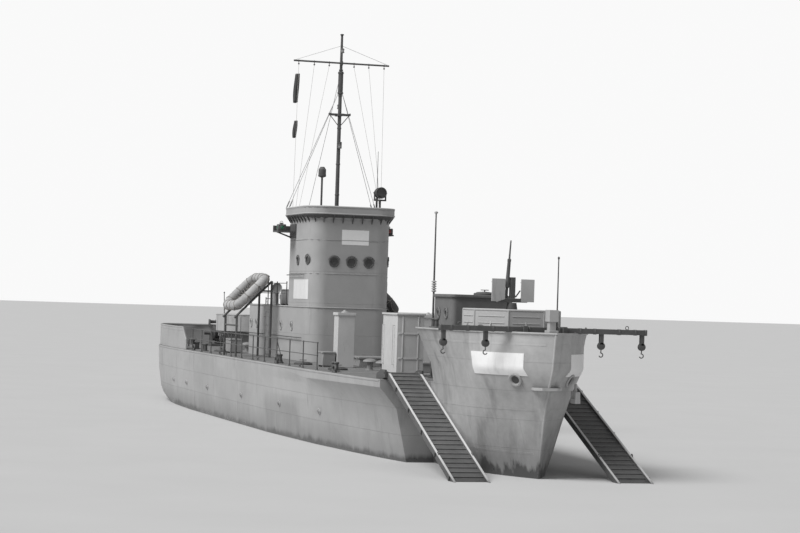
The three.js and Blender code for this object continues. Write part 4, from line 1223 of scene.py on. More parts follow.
@dataclass
class Forecastle:
    """What stands on the forecastle deck."""

    tub_x: float = -2.9
    tub_radius: float = 1.46
    tub_top: float = 4.8
    staff: Profile = (
        (0.07, 0), (0.07, 0.02), (0.035, 0.05), (0.022, 0.4),
        (0.016, 2.1), (0.03, 2.12), (0.03, 2.16), (0.0, 2.19),
    )

    def corner(self, k: float, radius: float, z: float) -> Vector:
        """A corner of the eight-sided tub, at any radius."""
        return Vector((self.tub_x, 0, z)) + spoke(radians(22.5 + 45 * k)) * radius

    def build(self) -> None:
        """Makes the tub's rim and ribs, the bitts, chocks and staffs."""
        rim = Form()
        wall = self.tub_radius
        rim.tube([self.corner(k, wall - 0.02, self.tub_top) for k in range(8)], 0.035, 12, True)
        for k in range(8):
            rim.tube([self.corner(k, wall - 0.01, z) for z in (4.24, 4.79)], 0.028, 10)
            for z in (4.42, 4.62):
                near, far = self.corner(k, wall + 0.004, z), self.corner(k + 1, wall + 0.004, z)
                rim.tube([near.lerp(far, 0.12), near.lerp(far, 0.88)], 0.012)
            middle = self.corner(k, wall, 4.205).lerp(self.corner(k + 1, wall, 4.205), 0.5)
            away = Vector((middle.x - self.tub_x, middle.y, 0)).normalized()
            foot = middle - away * 0.01
            rim.plate([foot, middle + away * 0.1, foot + UP * 0.3], away.cross(UP * 0.03))
        rim.piece("bow_tub_rim", RIM_PAINT)
        racks = Form()
        for k in (0.5, 1.5, 2.5, 5.5, 6.5):
            spot = self.corner(k, 1.16, 4.27)
            turn = Matrix.Rotation(radians(22.5 + 45 * k), 3, "Z")
            racks.block(spot + Vector((-0.09, -0.3, 0)), spot + Vector((0.09, 0.3, 0.3)), 0.015, turn)
            for e in (-0.18, 0.0, 0.18):
                low, high = Vector((-0.1, e - 0.02, 0.02)), Vector((-0.08, e + 0.02, 0.28))
                racks.block(spot + turn @ low, spot + turn @ high, 0.004)
        racks.piece("bow_tub_lockers", TUB_PAINT)
        staff = Form()
        staff.post((0.6, 0.16, 4.2), self.staff, 14)
        for z in (4.35, 4.75):
            staff.block((0.5, 0.1, z), (0.64, 0.2, z + 0.03), 0.006)
        staff.piece("jackstaff", FITTING_PAINT)
        for side in Side:
            gear = Gear()
            gear.bitts((-4.3, 1.95, FORECASTLE_Z), 0.75)
            gear.chock((-0.9, 1.62, FORECASTLE_Z), 0.5, radians(-24))
            gear.cleat((0.15, 0.9, FORECASTLE_Z), 0.3)
            gear.piece_on(side, "forecastle_bitts", FITTING_PAINT)


@dataclass
class HouseDressing:
    """Portholes, rails, ladders and bars of the deckhouse, tower and bridge."""

    aft_x: float = -25.6
    front_x: float = -21.6
    half_y: float = 1.6
    corner: float = 0.65
    house_aft_x: float = -32.5
    house_half_y: float = 1.62
    side_bar: tuple[Point, Point] = ((-24.15, -22.0), (4.93, 5.68))
    front_bar: tuple[Point, Point] = ((-0.40, 0.66), (7.03, 7.60))
    floor_z: float = 7.31
    front_port_ys: Row = (-0.68, 0.0, 0.68)
    aft_port_ys: Row = (0.78, -0.78)
    house_port_xs: Row = (-24.2, -26.0, -30.4, -31.4)
    house_port_z: float = 3.85
    tower_bead_zs: Row = (5.92, 7.2, 7.97)
    ladder_width: float = 0.4
    ladder_reach: float = 0.16
    rung_pitch: float = 0.3

    def build(self) -> None:
        """Makes all of the house's pieces."""
        self.portholes()
        self.bars()
        self.bridge_edge()
        self.bridge_inside()
        self.rails()
        self.roof()

    def portholes(self) -> None:
        """Makes the portholes of the tower and deckhouse."""
        tower = Gear()
        for y in self.front_port_ys:
            tower.porthole((self.front_x, y, 6.37), FORWARD, 0.15)
        for side in Side:
            tower.porthole(side.point(-23.55, self.half_y, 6.40), side.out)
            tower.porthole(side.point(-22.12, 1.5745, 6.42), side.point(0.195, 0.981, 0))
        for y in self.aft_port_ys:
            tower.porthole((self.aft_x, y, 6.3), -FORWARD)
        tower.piece("tower_portholes", FITTING_PAINT, PORT_GLASS)
        house = Gear()
        for side in Side:
            for x in self.house_port_xs:
                house.porthole(side.point(x, self.house_half_y, self.house_port_z), side.out, 0.12)
        house.porthole((self.house_aft_x, 0.75, self.house_port_z), -FORWARD, 0.12)
        house.piece("deckhouse_portholes", HOUSE_PAINT, PORT_GLASS)

    def bars(self) -> None:
        """Makes the plain white bars on the tower's front and sides."""
        (y0, y1), (z0, z1) = self.front_bar
        front = Form()
        front.block((self.front_x - 0.01, y0, z0), (self.front_x + 0.008, y1, z1), 0.004)
        # The front bar takes the brighter white, which carries painted light.
        front.piece("tower_front_white_bar", PAINTED_LIGHT_WHITE)
        for side in Side:
            bar = Form()
            SideSkin("conning_tower", 7.2, side).patch(bar, *self.side_bar, 0.009, 0.05)
            bar.piece(f"tower_white_bar_{side.label}", WHITE_PAINT)

    def bridge_edge(self) -> None:
        """Makes the bridge's rim, the brackets, and a dark sloping band under its lip that is painted shade
        for the lip's underside.
        """
        rim = Form()
        rim.tube(rounded_plan(-25.78, -21.42, 1.78, 0.83, 8.45, 8), 0.035, 12, True)
        rim.tube(rounded_plan(-25.8, -21.4, 1.8, 0.85, 8.19, 8), 0.022, 10, True)
        rim.piece("bridge_rim", RIM_PAINT)
        brackets = Form()
        for spot, way in self.wall_spots(0.42):
            across = way.cross(UP) * 0.03
            foot = spot - across / 2
            inner, outer = foot - way * 0.01, foot + way * 0.185
            outline = [inner + UP * 7.82, inner + UP * 7.99, outer + UP * 8.16, outer + UP * 8.11]
            brackets.plate(outline, across)
        # A dark sheet laid over the lip's sloping underside, in the dark fitting paint: painted shade under
        # the lip.
        low = rounded_plan(self.aft_x, self.front_x, self.half_y, self.corner, 8.0, 8)
        high = rounded_plan(-25.79, -21.41, 1.79, 0.84, 8.15, 8)
        rows = [row + row[:1] for row in (low, high)]
        middle = Vector((-23.6, 0, 0))

        def out(i: int, j: int) -> Vector:
            """The way down and out of the band."""
            return ((rows[1][j] - middle) * Vector((1, 1, 0)) - UP * 2.0).normalized()

        brackets.skin(rows, out, 0.012)
        brackets.piece("bridge_brackets", FITTING_PAINT)

    def bridge_inside(self) -> None:
        """Makes the bridge's gratings, chart table, voice pipes and flag locker."""
        inside = Form()
        for k in range(12):
            y = -1.3 + k * 0.235
            if abs(y) >= 0.2:
                inside.pad((-23.7, y, self.floor_z), 1.4, 0.035, 0.03, 0.006, tint=1)
        for x in (-24.9, -23.5, -22.5):
            inside.pad((x, 0, self.floor_z - 0.008), 0.04, 1.36, 0.02, 0.004, tint=1)
        inside.block((-22.12, -0.75, 8.02), (-21.68, 0.25, 8.08), 0.01)
        inside.block((-22.07, -0.7, 7.85), (-21.7, 0.2, 8.03), 0.01)
        mouth = [(0.028, -0.01), (0.032, 0.02), (0.065, 0.07), (0.06, 0.075), (0.03, 0.04)]
        for y in (0.45, 0.62):
            inside.tube([(-21.75, y, 7.3), (-21.75, y, 8.15), (-21.8, y, 8.3), (-21.9, y, 8.38)], 0.028, 12)
            inside.turned((-21.9, y, 8.38), (-0.7, 0, 0.5), mouth, 16)
        inside.block((-25.6, -1.0, 7.3), (-25.3, 1.0, 8.1), 0.012)
        for k in range(5):
            for z in (7.45, 7.75):
                y = -0.88 + k * 0.38
                inside.block((-25.31, y, z), (-25.285, y + 0.26, z + 0.2), 0.006)
        inside.piece("bridge_fittings", GEAR_PAINT, SLATS)

    def wall_spots(self, pitch: float) -> list[tuple[Vector, Vector]]:
        """Places spread round the tower's wall, with the way out of it.

        Args:
            pitch: Distance between places.

        Returns:
            Points at z 0 and their outward ways.
        """
        outline = rounded_plan(self.aft_x, self.front_x, self.half_y, self.corner, 0.0)
        spots = []
        for a, b in zip(outline, outline[1:] + outline[:1]):
            count = max(1, round((b - a).length / pitch))
            way = (b - a).normalized().cross(UP)
            spots += [(a.lerp(b, (k + 0.5) / count), way) for k in range(count)]
        return spots

    def rails(self) -> None:
        """Makes grab rails, storm rails, ladders and seam beads."""
        beads = Form()
        for z in self.tower_bead_zs:
            outline = rounded_plan(self.aft_x, self.front_x, self.half_y, self.corner, z)
            beads.tube(outline, 0.016, 8, True)
        beads.tube(rounded_plan(self.house_aft_x, -21.58, self.house_half_y, 0.65, 4.63), 0.03, 10, True)
        beads.piece("house_beads", HOUSE_PAINT)
        for side in Side:
            rail = Gear()
            runs = ((-31.9, -29.0, 1.62, 3.45), (-27.4, -22.6, 1.62, 3.45), (-25.0, -22.5, 1.6, 5.85))
            for x0, x1, y, z in runs:
                line = [Vector((x, y + 0.09, z)) for x in (x0, x1)]
                rail.grab_rail(line, max(2, round((x1 - x0) / 0.8) + 1), Vector((0, -0.095, 0)))
            rail.piece_on(side, "grab_rails", FITTING_PAINT)
        ladders = Form()
        self.ladder(ladders, Vector((self.aft_x, 0.0, HOUSE_ROOF_Z)), 8.4)
        self.ladder(ladders, Vector((self.house_aft_x, -0.55, MAIN_DECK_Z)), 4.95)
        ladders.piece("ladders", FITTING_PAINT)
        storm = Form()
        spots = [(-25.75, 1.5), (-27.4, 1.5), (-29.0, 1.5), (-30.6, 1.5), (-32.1, 1.5), (-32.38, 0.6)]
        posts = [Vector((x, y, HOUSE_ROOF_Z)) for x, y in spots + [(x, -y) for x, y in reversed(spots)]]
        stanchion = [(0.05, -0.004), (0.05, 0.012), (0.022, 0.03), (0.02, 0.9), (0.03, 0.93), (0.0, 0.96)]
        for post in posts:
            storm.post(post, stanchion, 12)
        for rise in (0.48, 0.88):
            for row in (posts[:6], posts[6:]):
                storm.tube([p + UP * rise for p in row], 0.014)
        storm.piece("house_roof_rails", FITTING_PAINT)

    def ladder(self, form: Form, foot: Vector, top_z: float) -> None:
        """An upright ladder on a wall that looks aft.

        Args:
            form: Where it goes.
            foot: Where its middle line meets wall and deck.
            top_z: Height of its top.
        """
        across = Vector((0, self.ladder_width / 2, 0))
        base = foot - FORWARD * self.ladder_reach
        top = top_z - foot.z
        for sign in (-1, 1):
            form.tube([base + across * sign, base + across * sign + UP * top], 0.022, 10)
        for k in range(1, int(top / self.rung_pitch) + 1):
            rise = UP * (k * self.rung_pitch - 0.06)
            form.tube([base - across + rise, base + across + rise], 0.014)
        for rise in (0.25, top * 0.5, top - 0.2):
            for sign in (-1, 1):
                spot = base + across * sign + UP * rise
                form.tube([spot, spot + FORWARD * (self.ladder_reach + 0.004)], 0.014)

    def roof(self) -> None:
        """Makes the lockers and ventilators on the deckhouse roof."""
        gear = Gear()
        for (x0, x1), (y0, y1), top in (
            ((-27.6, -26.2), (0.55, 1.2), 5.2),
            ((-27.9, -26.3), (-1.2, -0.6), 5.3),
            ((-31.6, -30.5), (-0.4, 0.4), 5.1),
        ):
            gear.locker((x0, y0, HOUSE_ROOF_Z), (x1, y1, top))
        for x, y in ((-28.9, 0.7), (-28.9, -0.7), (-31.9, 1.0)):
            gear.mushroom((x, y, HOUSE_ROOF_Z - 0.005), 1.1)
        for y in (-0.95, 0.95):
            gear.cowl(Vector((-30.0, y, HOUSE_ROOF_Z - 0.005)))
        gear.piece("house_roof_gear", GEAR_PAINT)


@dataclass
class DoorDressing:
    """Stiffeners, clips and handles of a weather door, in the door's own frame.

    The leaf lies in the plane of `across` and z, with its outer face towards `way`.
    """

    foot: Vector
    across: Vector
    way: Vector
    width: float
    height: float = 1.76
    clip_inset: float = 0.07
    bead_inset: float = 0.06
    clip: Profile = ((0.028, 0), (0.028, 0.02), (0.014, 0.03), (0.014, 0.05), (0.0, 0.052))

    def at(self, u: float, z: float, out: float) -> Vector:
        """A point on the door by width, height and distance out."""
        return self.foot + self.across * u + self.way * out + UP * z

    def build(self, name: str, side: Side, finish: Finish) -> None:
        """Makes the door's dressing.

        Args:
            name: The door's name, without the side.
            side: Which side.
            finish: Its paint.
        """
        form = Form()
        half, height = self.width / 2, self.height
        side_u, low, high = half - self.bead_inset, 0.08, height - 0.08
        corners = [(-side_u, low), (side_u, low), (side_u, high), (-side_u, high)]
        form.tube([self.at(u, z, 0.004) for u, z in corners], 0.016, 8, True)
        for z in (height * 0.33, height * 0.66):
            reach = half - self.clip_inset
            form.tube([self.at(-reach, z, 0.002), self.at(reach, z, 0.002)], 0.018)
        for sign in (-1, 1):
            for z in (0.25, height / 2, height - 0.25):
                u = sign * (half - self.clip_inset)
                form.turned(self.at(u, z, -0.002), self.way, self.clip, 12)
                tip = self.at(sign * (half + 0.005), z - 0.05, 0.04)
                form.tube([self.at(u, z, 0.04), tip], [0.014, 0.01])
        grip = ((-0.09, 0.0), (-0.08, 0.05), (0.08, 0.05), (0.09, 0.0))
        form.tube([self.at(half - 0.2, height * 0.5 + dz, out) for dz, out in grip], 0.010)
        form.piece(f"{name}_clips_{side.label}", finish, body=f"{name}_{side.label}_body")


@dataclass
class DeckBoxes:
    """Companionways, vent trunks, forward house and the doors' dressing."""

    box_front_x: float = -8.7
    vent_x: float = -16.8
    house_z: float = 4.62
    pole: Pair = (-7.78, -0.95)

    def build(self) -> None:
        """Makes every deck box's dressing."""
        for side in Side:
            self.companionway(side)
            self.vent(side)
        self.forward_house()

    def companionway(self, side: Side) -> None:
        """Makes the trim of one companionway and the clips of that side's doors."""
        trim = Form()
        trim.block((-10.44, 0.91, 4.52), (-8.66, 1.89, 4.585), 0.02)
        for x in (-10.2, -9.0):
            for y, sign in ((0.95, -1), (1.85, 1)):
                out = y + sign * 0.07
                trim.tube([(x, out, 2.9), (x, out, 4.2)], 0.014)
                for z in (2.92, 4.18):
                    trim.tube([(x, out, z), (x, y - sign * 0.004, z)], 0.011)
        front = self.box_front_x
        for z in (3.1, 3.9):
            trim.block((front - 0.004, 1.0, z), (front + 0.02, 1.8, z + 0.05), 0.006)
        for y in (1.12, 1.64):
            trim.block((front - 0.01, y, 2.56), (front + 0.02, y + 0.04, 4.5), 0.006)
        trim.piece_on(side, "companionway_trim", BOX_PAINT)
        inner = DoorDressing(side.point(-10.452, 1.4, 2.64), side.out, -FORWARD, 0.76)
        inner.build("companionway_door", side, BOX_PAINT)
        outer = DoorDressing(side.point(-28.2, 1.682, 2.67), -FORWARD, side.out, 0.81)
        outer.build("deckhouse_door", side, HOUSE_PAINT)

    def vent(self, side: Side) -> None:
        """Makes the louvres and cap of one vent trunk."""
        vent = Form()
        near, far = self.vent_x + 0.002, self.vent_x - 0.05
        for k in range(7):
            z = 3.35 + k * 0.14
            slat = [(near, 1.32, z), (near, 1.78, z), (far, 1.78, z - 0.06), (far, 1.32, z - 0.06)]
            vent.plate(slat, (0, 0, -0.014))
        outline = ((1.30, 3.22), (1.80, 3.22), (1.80, 4.28), (1.30, 4.28))
        vent.tube([(self.vent_x - 0.02, y, z) for y, z in outline], 0.02, 8, True)
        cap = [(0.12, 0), (0.12, 0.03), (0.05, 0.05), (0.05, 0.09), (0.0, 0.1)]
        vent.post((-16.5, 1.55, 4.495), cap, 16)
        vent.piece_on(side, "vent_louvres", BOX_PAINT)

    def forward_house(self) -> None:
        """Makes the forward house's portholes, rails and the whip pole's insulator."""
        house = Gear()
        for side in Side:
            for x in (-7.0, -6.2):
                house.porthole(side.point(x, 1.0, self.house_z), side.out, 0.11)
        house.porthole((-7.6, 0.5, 4.6), -FORWARD, 0.11)
        for y in (0.45, -0.45):
            house.porthole((-5.6, y, self.house_z), FORWARD, 0.11)
        house.piece("forward_house_portholes", FORE_PAINT, PORT_GLASS)
        rails = Gear()
        for side in Side:
            line = [side.point(x, 1.08, 3.7) for x in (-7.4, -5.8)]
            rails.grab_rail(line, 4, side.out * -0.085)
        rails.scuttle((-6.7, 0.4, 5.235), 0.28)
        rails.piece("forward_house_rails", FITTING_PAINT)
        pole = Form()
        for k in range(5):
            ring = [(0.046, 0), (0.085, 0.02), (0.085, 0.035), (0.046, 0.06)]
            pole.post((*self.pole, 5.3 + 0.075 * k), ring, 16)
        cap = [(0.045, 0), (0.06, 0.01), (0.06, 0.05), (0.03, 0.07), (0.0, 0.075)]
        pole.post((*self.pole, 7.8), cap, 12)
        pole.piece("whip_pole_insulator", RIM_PAINT)


@dataclass
class RampDressing:
    """Edge strips, bracing, foot roller and sockets of a ramp."""

    hinge: Pair = (-5.82, 2.74)
    centre_y: float = 2.45
    half_width: float = 0.53
    slope: float = radians(21.7)
    frames: int = 13
    frame_pitch: float = 0.67

    def at(self, s: float, y: float, h: float) -> Vector:
        """A point of the port ramp at rest."""
        c, n = cos(self.slope), sin(self.slope)
        return Vector((self.hinge[0] + s * c + h * n, self.centre_y + y, self.hinge[1] - s * n + h * c))

    def build(self, side: Side) -> None:
        """Makes one ramp's pieces."""
        body = f"ramp_{side.label}_body"
        wide = self.half_width
        rails = Form()
        for y in (0.025 - wide, wide - 0.025):
            middle, half = self.at(4.72, y, 0.087), Vector((4.5, 0.032, 0.009))
            rails.block(middle - half, middle + half, 0.004, Matrix.Rotation(self.slope, 3, "Y"))
        rails.piece_on(side, "ramp_edge_strips", RAMP_RAIL_PAINT, body=body)
        under = Form()
        places = [0.9 + self.frame_pitch * k for k in range(self.frames)]
        for s in places:
            under.tube([self.at(s, -0.47, -0.035), self.at(s, 0.47, -0.035)], 0.03)
        for k, s in enumerate(places[:-1]):
            y = -0.46 if k % 2 else 0.46
            under.tube([self.at(s, y, -0.05), self.at(s + self.frame_pitch, -y, -0.05)], 0.014)
        under.tube([self.at(9.24, -0.46, -0.02), self.at(9.24, 0.46, -0.02)], 0.05, 14)
        under.piece_on(side, "ramp_bracing", RAMP_PAINT, body=body)
        sockets = Form()
        for k in range(6):
            for low, high, radius in ((-0.07, 0.075, 0.024), (0.05, 0.078, 0.031)):
                sockets.tube([self.at(1.2 + 1.5 * k, wide + 0.022, h) for h in (low, high)], radius, 10)
        for s in (5.85, 8.6):
            for y in (0.02 - wide, wide - 0.02):
                sockets.tube(circle(self.at(s, y, 0.105), FORWARD * 0.055, UP * 0.055, 12), 0.014, 8, True)
        sockets.piece_on(side, "ramp_sockets", FITTING_PAINT, body=body)


@dataclass
class BeamDressing:
    """Bands, eyes and hanging tackle of the beam across the bow."""

    band_ys: Row = (0.45, 1.1, 1.55, 2.3, 2.8, 3.12)
    block_ys: Row = (1.76, 3.02)
    cheeks: Profile = (
        (0.10, -0.05), (0.11, -0.045), (0.11, -0.03), (0.085, -0.02),
        (0.085, 0.02), (0.11, 0.03), (0.11, 0.045), (0.10, 0.05),
    )

    def build(self) -> None:
        """Makes the beam's bands and each side's tackle."""
        bands = Form()
        for sign in (-1, 1):
            for y in self.band_ys:
                bands.pad((0, sign * y, 4.19), 0.092, 0.03, 0.17, 0.01)
            cap = [(0.07, 0), (0.07, 0.05), (0.03, 0.07), (0.0, 0.075)]
            bands.turned((0, sign * 3.1, 4.275), (0, sign, 0), cap, 14)
            bands.tube(arc((0, sign * 2.55, 4.4), (0, 0.05, 0), (0, 0, 0.05), -80, 260, 14), 0.012)
        bands.piece("ramp_beam_bands", FITTING_PAINT)
        for side in Side:
            tackle = Form()
            for y in self.block_ys:
                tackle.turned((0, y, 3.86), FORWARD, self.cheeks)
                hook = arc((0, y, 3.60), (0, 0.06, 0), (0, 0, 0.06), 100, -160, 14)
                tackle.tube([(0, y, 3.78), (0, y, 3.70), *hook], 0.016, 10)
            tackle.piece_on(side, "ramp_tackle", FITTING_PAINT)


@dataclass
class Raft:
    """A float raft: wrapped ring, lashing, grab line, lacing and slatted floor."""

    x0: float = -29.2
    x1: float = -26.3
    inner: Pair = (2.0, 5.85)
    outer: Pair = (3.4, 4.45)
    tube: float = 0.2
    corner: float = 0.5
    steps: int = 208
    wrap_every: int = 8
    band_every: int = 16
    lace_every: int = 4
    slats: int = 6

    @property
    def half(self) -> Pair:
        """Half the raft's length, and half its width along its slope."""
        return (self.x1 - self.x0) / 2, dist(self.inner, self.outer) / 2

    def ring(self) -> list[Vector]:
        """The ring's centreline, flat, in even steps."""
        half_x, half_y = (half - self.tube for half in self.half)
        outline = rounded_plan(-half_x, half_x, half_y, self.corner, 0.0, 10)
        lengths = [0.0]
        for a, b in zip(outline, outline[1:] + outline[:1]):
            lengths.append(lengths[-1] + (b - a).length)
        points, leg = [], 0
        for k in range(self.steps):
            goal = lengths[-1] * k / self.steps
            while lengths[leg + 1] < goal:
                leg += 1
            share = (goal - lengths[leg]) / (lengths[leg + 1] - lengths[leg])
            points.append(outline[leg].lerp(outline[(leg + 1) % len(outline)], share))
        return points

    @staticmethod
    def axes(line: list[Vector], k: int, radius: float) -> tuple[Vector, Vector, Vector]:
        """The ring's section at one of its points."""
        way = (line[(k + 1) % len(line)] - line[k - 1]).normalized()
        out = way.cross(UP) * radius
        return line[k], out if out.dot(line[k]) > 0 else -out, UP * radius

    def build(self, side: Side) -> None:
        """Makes one raft's pieces, laid on the rack on its side."""
        slope = atan2(self.inner[1] - self.outer[1], self.outer[0] - self.inner[0])
        lay = Matrix.Rotation(-slope, 3, "X")
        middle = ((self.x0 + self.x1) / 2, *((a + b) / 2 for a, b in zip(self.inner, self.outer)))

        def placed(form: Form) -> Form:
            """The form, laid on its rack on this side."""
            return form.moved(lay, middle).moved(side.mirror)

        line = self.ring()
        body = Form()
        shares = [
            0.965 - 0.045 * (k % self.wrap_every == 0) + 0.015 * sin(k * 1.7)
            for k in range(self.steps)
        ]
        body.tube(line, [self.tube * share for share in shares], 24, True)
        # The port raft takes the darkened canvas, which paints the shade it lies in; the starboard raft
        # takes the plain canvas.
        canvas = RAFT_CANVAS if side is Side.STARBOARD else PAINTED_SHADE_CANVAS
        ring = placed(body).piece(f"raft_ring_{side.label}", canvas)
        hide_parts(f"raft_{side.label}")
        bands = Form()
        for k in range(0, self.steps, self.band_every):
            bands.tube(circle(*self.axes(line, k, self.tube * 0.985), 24), 0.013, 8, True)
        grab = []
        for k in range(self.steps):
            spot, out, up = self.axes(line, k, self.tube * 1.035)
            angle = radians(12 - 46 * sin(pi * (k % self.band_every) / self.band_every))
            grab.append(spot + out * cos(angle) + up * sin(angle))
        bands.tube(grab, 0.014, 8, True)
        placed(bands).piece(f"raft_lashing_{side.label}", HEMP)
        floor = Form()
        half_x, half_y = self.half[0] - 0.52, self.half[1] - 0.5
        for k in range(self.slats):
            floor.pad((0, half_y * ((2 * k + 1) / self.slats - 1), -0.12), half_x, 0.045, 0.03, 0.006)
        for k in range(self.slats):
            x = (half_x - 0.12) * (2 * k / (self.slats - 1) - 1)
            floor.pad((x, 0, -0.155), 0.04, half_y, 0.037, 0.006)
        placed(floor).piece(f"raft_slats_{side.label}", SLATS)
        net = Form()
        for k in range(0, self.steps, self.lace_every):
            spot, out, _ = self.axes(line, k, self.tube * 0.9)
            spot = spot - out
            x = max(-half_x, min(half_x, spot.x * 0.80))
            y = max(-half_y, min(half_y, spot.y * 0.68))
            inner = Vector((x, y, -0.10))
            net.tube([spot, spot.lerp(inner, 0.5) - UP * 0.02, inner], 0.009, 6)
        placed(net).piece(f"raft_lacing_{side.label}", HEMP)


@dataclass
class Mast:
    """Standing and running rigging, mast fittings and the limp signal hoists."""

    x: float = -24.1
    top: float = 15.32
    yard_z: float = 14.17
    block_ys: Row = (0.5, 1.1, 1.72)
    tree_z: float = 12.16
    doubling: Pair = (12.95, 13.85)
    band_zs: Row = (9.0, 10.2, 11.6, 12.87, 12.98, 13.76, 13.87)
    lamps: tuple[tuple[float, int], ...] = ((10.83, 1), (14.56, 1), (12.4, -1))
    halyard_feet: tuple[Pair, ...] = ((1.72, 1.77), (1.1, 1.70), (0.5, 1.62))
    halyard_z: float = 8.47
    shroud_xs: Pair = (-25.2, -24.7)
    shroud_head_z: float = 12.97
    stay_head_z: float = 13.7
    stay_foot: Pair = (-32.2, 4.68)

    def build(self) -> None:
        """Makes the mast's pieces."""
        self.fittings()
        self.lanterns()
        self.rigging()
        for number, (top, foot, fly) in enumerate(((13.67, 12.55, 0.9), (11.84, 11.18, 0.7)), 1):
            block_z = self.yard_z - 0.13
            share = (block_z - top) / (block_z - self.halyard_z)
            head = Side.STARBOARD.point(self.x + 0.08, 1.72 + 0.05 * share, top)
            self.limp_flag(f"signal_flag_{number}", head, top - foot, fly)

    def fittings(self) -> None:
        """Makes the truck, bands, yard blocks, crosstree arms and cleats."""
        form = Gear()
        x = self.x
        form.post((x, 0, self.top - 0.06), [(0.05, 0), (0.075, 0.015), (0.075, 0.045), (0.0, 0.058)], 16)
        low, high = self.doubling
        for z in self.band_zs:
            r = 0.105 if low < z < high else 0.082 - 0.002 * (z - 7)
            form.post((x, 0, z), [(r, 0), (r + 0.012, 0.01), (r + 0.012, 0.05), (r, 0.06)], 18)
        band = [(0.036, 0), (0.046, 0.006), (0.046, 0.034), (0.036, 0.04)]
        sheave = [(0.028, 0), (0.032, 0.008), (0.026, 0.02), (0.032, 0.032), (0.028, 0.04)]
        for sign in (-1, 1):
            for y in self.block_ys:
                form.turned((x + 0.08, sign * y - 0.02, self.yard_z), (0, 1, 0), band, 14)
                eye = arc((x + 0.08, sign * y, self.yard_z - 0.065), (0.025, 0, 0), (0, 0, 0.03), 0, 340, 12)
                form.tube(eye, 0.007, 8, True)
                form.turned((x + 0.06, sign * y, self.yard_z - 0.12), FORWARD, sheave, 14)
            form.pad((x, sign * 0.40, self.tree_z - 0.03), 0.12, 0.02, 0.09, 0.008)
            form.tube([(x, sign * 0.38, self.tree_z - 0.03), (x, sign * 0.07, self.tree_z - 0.4)], 0.016)
        for k in range(6):
            form.cleat(Vector((x, 0, 7.85)) + spoke(k * pi / 3 + 0.5) * 0.13, 0.35)
        form.tube([(x - 0.12, 0.04, 7.45), (x - 0.115, 0.04, 10.7)], 0.014)
        form.piece("mast_fittings", FITTING_PAINT)

    def lanterns(self) -> None:
        """Makes the steaming and anchor lights on their arms."""
        form = Form()
        for z, way in self.lamps:
            foot = Vector((self.x + way * 0.17, 0, z))
            form.post(foot, [(0.05, 0), (0.07, 0.01), (0.07, 0.03), (0.05, 0.035)], 16)
            form.post(foot + UP * 0.033, [(0.052, 0), (0.06, 0.05), (0.052, 0.1)], 16, tint=1)
            form.post(foot + UP * 0.13, [(0.05, 0), (0.072, 0.004), (0.05, 0.04), (0.0, 0.06)], 16)
            form.tube([foot + UP * 0.01, (self.x + way * 0.05, 0, z + 0.01)], 0.02)
        form.piece("mast_lamps", FITTING_PAINT, LAMP_GLASS)

    def rigging(self) -> None:
        """Makes the shrouds, stays, lifts and halyards."""
        x = self.x
        wires = Form()
        for sign in (-1, 1):
            head = Vector((x, sign * 0.09, self.shroud_head_z))
            for foot_x in self.shroud_xs:
                wires.tube([head, (foot_x, sign * 1.76, 8.48)], 0.009, 6)
                self.screw(wires, Vector((foot_x, sign * 1.76, 8.46)), head)
            wires.tube([(x, sign * 0.05, 14.84), (x + 0.08, sign * 1.86, self.yard_z + 0.03)], 0.007, 6)
        foot_x, foot_z = self.stay_foot
        wires.tube([(x - 0.09, 0, self.stay_head_z), (foot_x, 0.0, foot_z)], 0.009, 6)
        self.screw(wires, Vector((foot_x, 0, foot_z - 0.02)), Vector((x, 0, self.stay_head_z)))
        wires.piece("mast_stays", WIRE)
        for side in Side:
            halyards = Form()
            for y, foot_y in self.halyard_feet:
                foot = (x + 0.35 * (1.9 - y), foot_y, self.halyard_z)
                halyards.tube([(x + 0.08, y, self.yard_z - 0.13), foot], 0.006, 6)
            halyards.piece_on(side, "signal_halyards", HALYARD)

    @staticmethod
    def screw(form: Form, foot: Vector, head: Vector) -> None:
        """A rigging screw at a stay's foot."""
        way = (head - foot).normalized()
        line = [foot + way * s for s in (-0.01, 0.06, 0.09, 0.3, 0.33)]
        form.tube(line, [0.018, 0.018, 0.026, 0.026, 0.012], 10)

    @staticmethod
    def limp_flag(name: str, head: Vector, hoist: float, fly: float) -> None:
        """A flag whose fly hangs in close folds just abaft its halyard, to starboard.

        Args:
            name: The piece's name.
            head: Its upper corner at the halyard.
            hoist: Its length down the halyard.
            fly: Its length across.
        """
        columns, rows, folds = 61, 16, 5
        step = fly / (columns - 1)
        phase = sum(ord(letter) for letter in name) % 7
        points = []
        for j in range(rows):
            down = j / (rows - 1)
            spot = Vector((0, 0))
            for i in range(columns):
                swing = 1.75 - 0.15 * down + 0.08 * sin(3 * down + phase)
                angle = swing * cos(pi * folds * i / (columns - 1) + 0.5 * sin(2.2 * down))
                if i:
                    spot += Vector((cos(angle), sin(angle))) * step
                drift = 0.02 * sin(4 * down + i * 0.05)
                points.append(head + Vector((-0.012 - spot.x, spot.y + drift, -hoist * down)))
        form = Form()
        form.add(points, grid(rows, columns))
        flag = form.piece(name, BUNTING)
        thick = flag.modifiers.new("Thickness", "SOLIDIFY")
        thick.thickness = 0.0012
        thick.offset = 0


